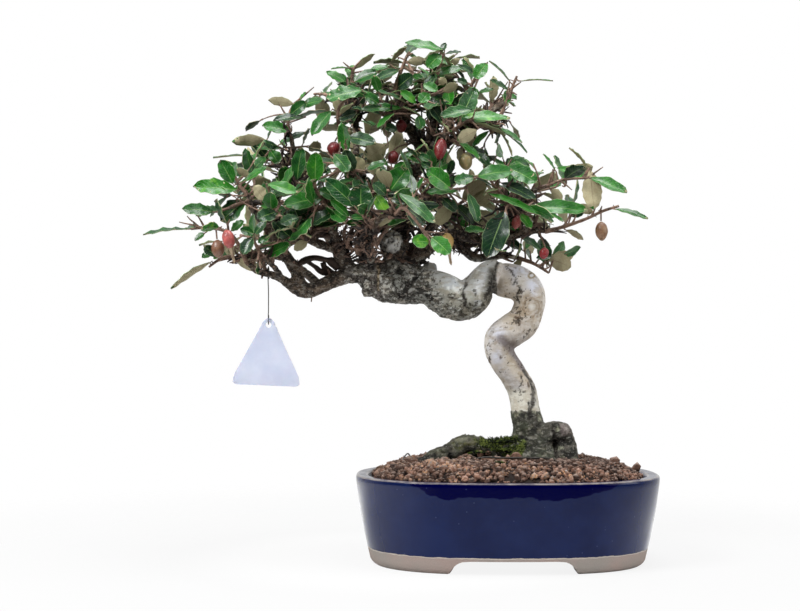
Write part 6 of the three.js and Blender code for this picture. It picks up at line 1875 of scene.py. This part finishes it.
def leaf_top_material(leaves):
    """Glossy green by tint, with paler veins, rib and margin, and a little dust."""
    paint, here, tint, (rib, vein, margin) = leaf_start("leaf_upper_side")
    patch, grain = paint.use("Mottle", here, 5.0, 0.7)
    dust, cell = paint.use("Specks", here, 0.95, 0.16)
    colour = ramp(tint + (patch - 0.5) * 0.3, (0.0, rgb(2, 38, 20)), (0.3, tuple(leaves.dark)),
                  (0.62, tuple(leaves.green)), (0.85, rgb(34, 112, 8)), (1.0, rgb(98, 154, 32)))
    colour = coat(colour, vein * 0.14, rgb(110, 156, 84))
    colour = coat(colour, grain * 0.25, rgb(8, 34, 12))
    colour = coat(colour, dust * (cell > 0.66) * 0.22, rgb(150, 186, 150))
    colour = coat(colour, rib * 0.5, rgb(140, 176, 96))
    colour = coat(colour, margin * 0.55, rgb(160, 186, 130))
    return paint.finish(colour, patch.spread(0.26, 0.44), patch * 0.9 - vein - rib, 0.00016, 0.6,
                        Coat_Weight=0.17, Coat_Roughness=0.14, Specular_IOR_Level=0.33)


def leaf_back_material(leaves):
    """Matte tan under scales, with a brown rib."""
    paint, here, tint, (rib, vein, margin) = leaf_start("leaf_under_side")
    patch, _ = paint.use("Mottle", here, 4.0, 0.4)
    dot, _ = paint.use("Specks", here, 0.7, 0.24)
    colour = ramp(tint + patch * 0.15, (0.0, rgb(112, 108, 78)), (0.4, tuple(leaves.under)),
                  (0.8, rgb(166, 158, 126)), (1.0, rgb(150, 134, 98)))
    colour = coat(colour, dot * 0.35, rgb(110, 90, 66))
    colour = coat(colour, vein * 0.14, rgb(186, 176, 142))
    colour = coat(colour, rib * 0.5, rgb(116, 98, 70))
    colour = coat(colour, margin * 0.3, rgb(176, 168, 130))
    return paint.finish(colour, 0.68, rib * 1.2 + vein * 0.5, 0.00022, 0.6, Specular_IOR_Level=0.4)


def berry_material(name, base, deep, depth):
    """A berry's skin: its own colour, deeper in patches by the depth, under fine pale dots."""
    paint = Paint(f"berry_skin_{name}")
    here = paint.place()
    patch, _ = paint.use("Mottle", here, 3.0, 0.4)
    dot, _ = paint.use("Specks", here, 0.62, 0.22)
    colour = coat(base, patch * depth, deep)
    colour = coat(colour, dot * 0.26, rgb(196, 150, 132))
    return paint.finish(colour, 0.42, dot, 0.0001, 0.6, Coat_Weight=0.15)


def berry_materials(berries):
    """A skin for each berry, ripe or not, and the dry husk of the collars and tails."""
    unripe = {"pink": rgb(190, 92, 88), "brown": rgb(126, 92, 66), "tan": rgb(142, 112, 78),
              "rose": rgb(150, 30, 38), "rust": rgb(140, 58, 54)}
    yellow = {"olive": rgb(128, 128, 84), "amber": rgb(176, 146, 78)}
    skins = {}
    for name in BERRIES:
        if name in yellow:
            skins[name] = berry_material(name, yellow[name], rgb(214, 160, 110), 0.3)
        else:
            skins[name] = berry_material(name, unripe.get(name, tuple(berries.red)), rgb(84, 20, 20), 0.5)
    husk = Paint("dry_husk")
    patch, grain = husk.use("Mottle", husk.place((1, 1, 0.4)), 2.0, 0.4)
    colour = coat(rgb(168, 148, 122), patch, rgb(118, 96, 78))
    return skins, husk.finish(colour, 0.85, grain, 0.0002, 0.8)


def moss_material(wood):
    """Moss: painted shade at its foot and green at its tips."""
    paint = Paint("moss")
    patch, grain = paint.use("Mottle", paint.place(), 3.4, 0.9)
    clumps = patch.step(0.3, 0.8)
    shade = coat(rgb(12, 17, 8), clumps, rgb(38, 50, 16))
    colour = coat(shade, paint.read("tip"), coat(rgb(30, 46, 14), clumps, tuple(wood.moss)))
    return paint.finish(colour, 0.9, grain, 0.0001, 0.4, Specular_IOR_Level=0.2)


def wire_material(name, colour, dark, roughness, metallic):
    """Wire in two tones, worn duller in its grain."""
    paint = Paint(name)
    patch, grain = paint.use("Mottle", paint.place(), 6.0, 0.5)
    worn = grain.spread(roughness, roughness + 0.2)
    return paint.finish(coat(colour, patch, dark), worn, grain, 0.00005, 0.5, Metallic=metallic)


def tag_material(tag):
    """Cloudy pale plastic that lets a little light in."""
    paint = Paint("cloudy_plastic")
    patch, grain = paint.use("Mottle", paint.place(), 14.0, 1.2)
    colour = coat(tuple(tag.colour), patch * 0.5, rgb(206, 212, 226))
    return paint.finish(colour, grain.spread(0.3, 0.5), patch, 0.00008, 0.4, Subsurface_Weight=0.12,
                        Subsurface_Scale=0.002)


# Sizes and colours that a user would change.
def colour_of(name, words, red, green, blue):
    return bpy.props.FloatVectorProperty(name=name, description=words, subtype="COLOR", size=4, min=0, max=1,
                                         default=rgb(red, green, blue))


def number_of(name, words, value, **more):
    return bpy.props.FloatProperty(name=name, description=words, default=value, **more)


class BonsaiPot(bpy.types.PropertyGroup):
    """The pot's colours and the edges of its glaze"""
    glaze: colour_of("Glaze", "Deep blue of the glaze", 7, 19, 56)
    glaze_light: colour_of("Thin glaze", "Blue where the glaze is thinner", 14, 27, 66)
    # The band and its edge set the painted dark reflection below the rim.
    band: colour_of("Band", "Blue of the thick glaze below the rim", 0, 1, 46)
    clay: colour_of("Clay", "Bare clay of the feet", 148, 142, 136)
    band_line: number_of("Band edge", "Height of the thick band's edge", 0.0468, unit="LENGTH")
    glaze_line: number_of("Glaze edge", "Height where the glaze begins", 0.0102, unit="LENGTH")


class BonsaiWood(bpy.types.PropertyGroup):
    """Colours of the wood and its moss"""
    shade: colour_of("Bark shade", "Darker tone of the bark's patches", 74, 68, 58)
    twig: colour_of("Twig", "Young twigs", 146, 116, 98)
    twig_dark: colour_of("Dark twig", "Older bark on the twigs", 86, 68, 58)
    moss: colour_of("Moss", "Tips of the moss", 112, 124, 44)


class BonsaiLeaves(bpy.types.PropertyGroup):
    """Colours of the leaves"""
    green: colour_of("Leaf green", "Upper side of most leaves", 22, 94, 11)
    dark: colour_of("Dark leaf", "Upper side of older leaves", 8, 62, 16)
    under: colour_of("Underside", "Scaly underside", 142, 136, 104)


class BonsaiBerries(bpy.types.PropertyGroup):
    """Colour of the ripe berries"""
    red: colour_of("Ripe berry", "Skin of the ripe berries", 114, 12, 22)


class BonsaiTag(bpy.types.PropertyGroup):
    """The tag's size and colour"""
    width: number_of("Width", "Tag's width in millimetres", 46.0)
    height: number_of("Height", "Tag's height in millimetres", 43.0)
    corner: number_of("Corner", "Corner radius in millimetres", 3.0)
    thickness: number_of("Thickness", "Tag's thickness in millimetres", 0.8)
    colour: colour_of("Plastic", "Pale plastic of the tag", 184, 191, 212)


class BonsaiStage(bpy.types.PropertyGroup):
    """Strength of the lights"""
    key_power: number_of("Key light", "Upper left light", 18.0, unit="POWER")
    top_power: number_of("Top light", "Light above", 12.0, unit="POWER")
    side_power: number_of("Side light", "Right light", 5.0, unit="POWER")
    sky: number_of("Sky", "Strength of the light from above", 0.75)
    backdrop: number_of("Backdrop", "Strength of the light behind", 0.7)


GROUPS = {"bonsai_pot": BonsaiPot, "bonsai_wood": BonsaiWood, "bonsai_leaves": BonsaiLeaves,
          "bonsai_berries": BonsaiBerries, "bonsai_tag": BonsaiTag, "bonsai_stage": BonsaiStage}


def put(name, mesh, materials, slot, *nodes):
    """Links a piece at the origin with its materials, hangs it on the root body and hides the CAD
    nodes that it stands for.
    """
    piece = bpy.data.objects.new(name, mesh)
    mesh.name = name
    for made in materials:
        mesh.materials.append(made)
    bpy.context.scene.collection.objects.link(piece)
    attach(piece, "root")
    if nodes:
        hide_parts(*nodes)
    return piece


def twig_finish():
    """The twigs' material, built the first time that it's asked for."""
    return bpy.data.materials.get("young_twig") or twig_material(bpy.context.scene.bonsai_wood)


def groups_ready():
    """Builds the shader node groups that the materials share."""
    for name, build in (("Mottle", mottle_group), ("Specks", speck_group), ("Veins", vein_group)):
        if name not in bpy.data.node_groups:
            build()


class MakePot(bpy.types.Operator):
    """Glazed oval pot on two clay feet"""
    bl_idname = "bonsai.make_pot"
    bl_label = "Pot"

    def execute(self, context):
        groups_ready()
        put("glazed_pot", pot_mesh(), [glaze_material(context.scene.bonsai_pot)], "glaze", "pot")
        return {"FINISHED"}


class MakeSoil(bpy.types.Operator):
    """Mounded soil, its crumbs, and the screens over the drain holes"""
    bl_idname = "bonsai.make_soil"
    bl_label = "Soil"

    def execute(self, context):
        groups_ready()
        bed, grains = soil_materials()
        put("soil_bed", soil_mesh(), [bed], "soil", "soil")
        put("soil_crumbs", grain_mesh(), [grains], "soil")
        plastic = wire_material("screen_plastic", rgb(38, 38, 40), rgb(58, 56, 54), 0.5, 0.0)
        for name in ("drain_screen_left", "drain_screen_right"):
            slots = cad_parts[name].material_slots
            if not slots:
                raise RuntimeError(f"{name} has no material slot")
            for slot in slots:
                slot.material = plastic
        return {"FINISHED"}


class MakeWood(bpy.types.Operator):
    """Trunk, roots and branches in one skin, with stubs, stalks and moss"""
    bl_idname = "bonsai.make_wood"
    bl_label = "Wood"

    def execute(self, context):
        groups_ready()
        wood = context.scene.bonsai_wood
        mesh, points, normals, moss = wood_mesh()
        if len(mesh.polygons) < 1000:
            raise RuntimeError("the wood's skin came out empty")
        put("trunk_and_branches", mesh, [bark_material(wood)], "bark", "wood")
        put("twig_stubs", wood_stalk_mesh(), [twig_finish()], "bark")
        put("moss_tufts", moss_mesh(points, normals, moss), [moss_material(wood)], "leaf")
        return {"FINISHED"}


class MakeLeaves(bpy.types.Operator):
    """Every spray's twig, spikes, thorns and leaves"""
    bl_idname = "bonsai.make_leaves"
    bl_label = "Leaves"

    def execute(self, context):
        groups_ready()
        leaves = context.scene.bonsai_leaves
        finishes = [leaf_top_material(leaves), leaf_back_material(leaves), twig_finish()]
        sprays = grow_sprays()
        every = [leaf for spray in sprays.values() for leaf in spray["leaves"]]
        if len(every) < 150:
            raise RuntimeError(f"only {len(every)} leaves were found on the sprays")
        found = twiglets(sprays, every)
        put("dead_twigs", thicket_mesh(every), [twig_finish()], "bark")
        for number, (name, spray) in enumerate(sprays.items()):
            mesh = spray_mesh(name, spray, found, every, number)
            put(f"leaves_{name}", mesh, finishes, "leaf", f"spray_{name}")
        return {"FINISHED"}


class MakeBerries(bpy.types.Operator):
    """Hanging berries with dry collars and tails"""
    bl_idname = "bonsai.make_berries"
    bl_label = "Berries"

    def execute(self, context):
        groups_ready()
        skins, husk = berry_materials(context.scene.bonsai_berries)
        for name in BERRIES:
            put(f"fruit_{name}", berry_mesh(name), [skins[name], husk], "berry", f"berry_{name}")
        return {"FINISHED"}


class MakeWires(bpy.types.Operator):
    """Anchor wire, wire pin and the tag's wire"""
    bl_idname = "bonsai.make_wires"
    bl_label = "Wires"

    def execute(self, context):
        groups_ready()
        dark = wire_material("dark_wire", rgb(58, 54, 50), rgb(36, 33, 31), 0.45, 0.6)
        steel = wire_material("thin_steel", rgb(138, 138, 140), rgb(96, 94, 94), 0.32, 0.9)
        put("anchor_loop", wire_mesh("anchor_loop", ANCHOR_LOOP, 0.6, True), [dark], "wire", "anchor_wire")
        put("soil_pin", wire_mesh("soil_pin", PIN_PATH, 0.45), [steel], "wire", "wire_pin")
        put("tag_hanger", wire_mesh("tag_hanger", tag_wire_rows(), 0.3), [dark], "tag_wire", "tag_wire")
        return {"FINISHED"}


class MakeTag(bpy.types.Operator):
    """Bare plastic tag with three rounded corners"""
    bl_idname = "bonsai.make_tag"
    bl_label = "Tag"

    def execute(self, context):
        groups_ready()
        tag = context.scene.bonsai_tag
        put("tag_plate", tag_mesh(tag), [tag_material(tag)], "tag", "tag")
        return {"FINISHED"}


def area_light(name, at, look, size, power):
    """A square light at a place that looks at another."""
    lamp = bpy.data.lights.new(name, "AREA")
    lamp.shape = "SQUARE"
    lamp.size = size
    lamp.energy = power
    placed = bpy.data.objects.new(name, lamp)
    placed.location = at
    placed.rotation_euler = (Vector(look) - Vector(at)).to_track_quat("-Z", "Y").to_euler()
    bpy.context.scene.collection.objects.link(placed)


def floor_mesh():
    """A flat round floor of rings that widen towards its edge."""
    angles = turns(96)
    reach = np.array([1, 60, 140, 260, 420, 640, 900.0])[:, None]
    rings = np.stack([reach * np.cos(angles), reach * np.sin(angles), 0 * reach * angles - 0.05], -1)
    parts = Parts()
    parts.add(rings, shell_faces(7, 96, caps=False))
    parts.add(rings[0], np.stack([0 * np.arange(1, 95), np.arange(1, 95), np.arange(2, 96)], -1))
    return parts.mesh("pale_floor", sharp=0)


def floor_material():
    """Pale matte floor that fades out into the pale surroundings away from the pot. To the camera it glows
    and takes little light, which washes out the pot's shadow, and it glows a little more within 9 cm of the
    pot.
    """
    paint = Paint("pale_floor")
    x, y, _ = Flow(node(paint.tree, "TexCoord").outputs["Object"]).axes()
    reach = (x ** 2.0 + y ** 2.0) ** 0.5
    by_eye = Flow(node(paint.tree, "LightPath").outputs["Is Camera Ray"])
    glow = by_eye * (0.88 - reach.step(0.09, 0.15) * 0.035)
    return paint.finish(by_eye.spread(0.7, 0.06), 0.9, Emission_Color=(1, 1, 1, 1), Emission_Strength=glow,
                        Alpha=1.0 - reach.step(0.2, 0.5), Specular_IOR_Level=0.0)


class MakeStage(bpy.types.Operator):
    """Pale floor, soft lights and the camera of the photograph"""
    bl_idname = "bonsai.make_stage"
    bl_label = "Stage"

    def execute(self, context):
        stage = context.scene.bonsai_stage
        floor = bpy.data.objects.new("pale_floor", floor_mesh())
        floor.data.materials.append(floor_material())
        context.scene.collection.objects.link(floor)
        middle = (0.0, 0.0, 0.17)
        area_light("key", (-0.75, -0.65, 0.95), middle, 0.5, stage.key_power)
        area_light("top", (0.15, -0.1, 1.15), middle, 0.6, stage.top_power)
        area_light("side", (0.95, -0.35, 0.45), middle, 0.7, stage.side_power)
        world = bpy.data.worlds.new("pale_room")
        context.scene.world = world
        world.use_nodes = True
        tree = world.node_tree
        back = tree.nodes["Background"]
        _, y, z = Flow(node(tree, "TexCoord").outputs["Generated"]).axes()
        glow = z.step(0.1, 0.8) * stage.sky + 0.06
        glow = glow.math("MAXIMUM", glow, y.step(-0.5, 0.6) * stage.backdrop)
        by_eye = Flow(node(tree, "LightPath").outputs["Is Camera Ray"])
        feed(back.inputs["Color"], (1, 1, 1, 1))
        feed(back.inputs["Strength"], glow.math("MAXIMUM", glow, by_eye))
        lens = bpy.data.cameras.new("photo_view")
        lens.sensor_width = 36.0
        lens.lens = lens.sensor_width * VIEW_DISTANCE / (PHOTO_WIDTH * STEP)
        lens.shift_y = (VIEW_V - PHOTO_MIDDLE) / PHOTO_WIDTH
        eye = bpy.data.objects.new("photo_view", lens)
        x = (HOME[0] + (VIEW_U - POT_U) * STEP) / 1000
        eye.location = (x, (HOME[1] - VIEW_DISTANCE) / 1000, VIEW_HEIGHT / 1000)
        eye.rotation_euler = (math.pi / 2, 0, 0)
        context.scene.collection.objects.link(eye)
        context.scene.camera = eye
        context.scene.view_settings.view_transform = "Standard"
        return {"FINISHED"}


OPERATORS = [MakePot, MakeSoil, MakeWood, MakeLeaves, MakeBerries, MakeWires, MakeTag, MakeStage]


class BonsaiPanel(bpy.types.Panel):
    """The bonsai's pieces, their sizes and colours"""
    bl_idname = "VIEW3D_PT_bonsai"
    bl_label = "Thorny olive bonsai"
    bl_space_type = "VIEW_3D"
    bl_region_type = "UI"
    bl_category = "Bonsai"

    def draw(self, context):
        for operator in OPERATORS:
            self.layout.operator(operator.bl_idname)
        for name, kind in GROUPS.items():
            for key in kind.__annotations__:
                self.layout.prop(getattr(context.scene, name), key)


def register():
    for kind in (*GROUPS.values(), *OPERATORS, BonsaiPanel):
        bpy.utils.register_class(kind)
    for name, kind in GROUPS.items():
        setattr(bpy.types.Scene, name, bpy.props.PointerProperty(type=kind))


def unregister():
    for name in GROUPS:
        delattr(bpy.types.Scene, name)
    for kind in (BonsaiPanel, *reversed(OPERATORS), *GROUPS.values()):
        bpy.utils.unregister_class(kind)


def main():
    register()
    bpy.ops.bonsai.make_pot()
    bpy.ops.bonsai.make_soil()
    bpy.ops.bonsai.make_wood()
    bpy.ops.bonsai.make_leaves()
    bpy.ops.bonsai.make_berries()
    bpy.ops.bonsai.make_wires()
    bpy.ops.bonsai.make_tag()
    bpy.ops.bonsai.make_stage()


if __name__ == "__main__":
    main()
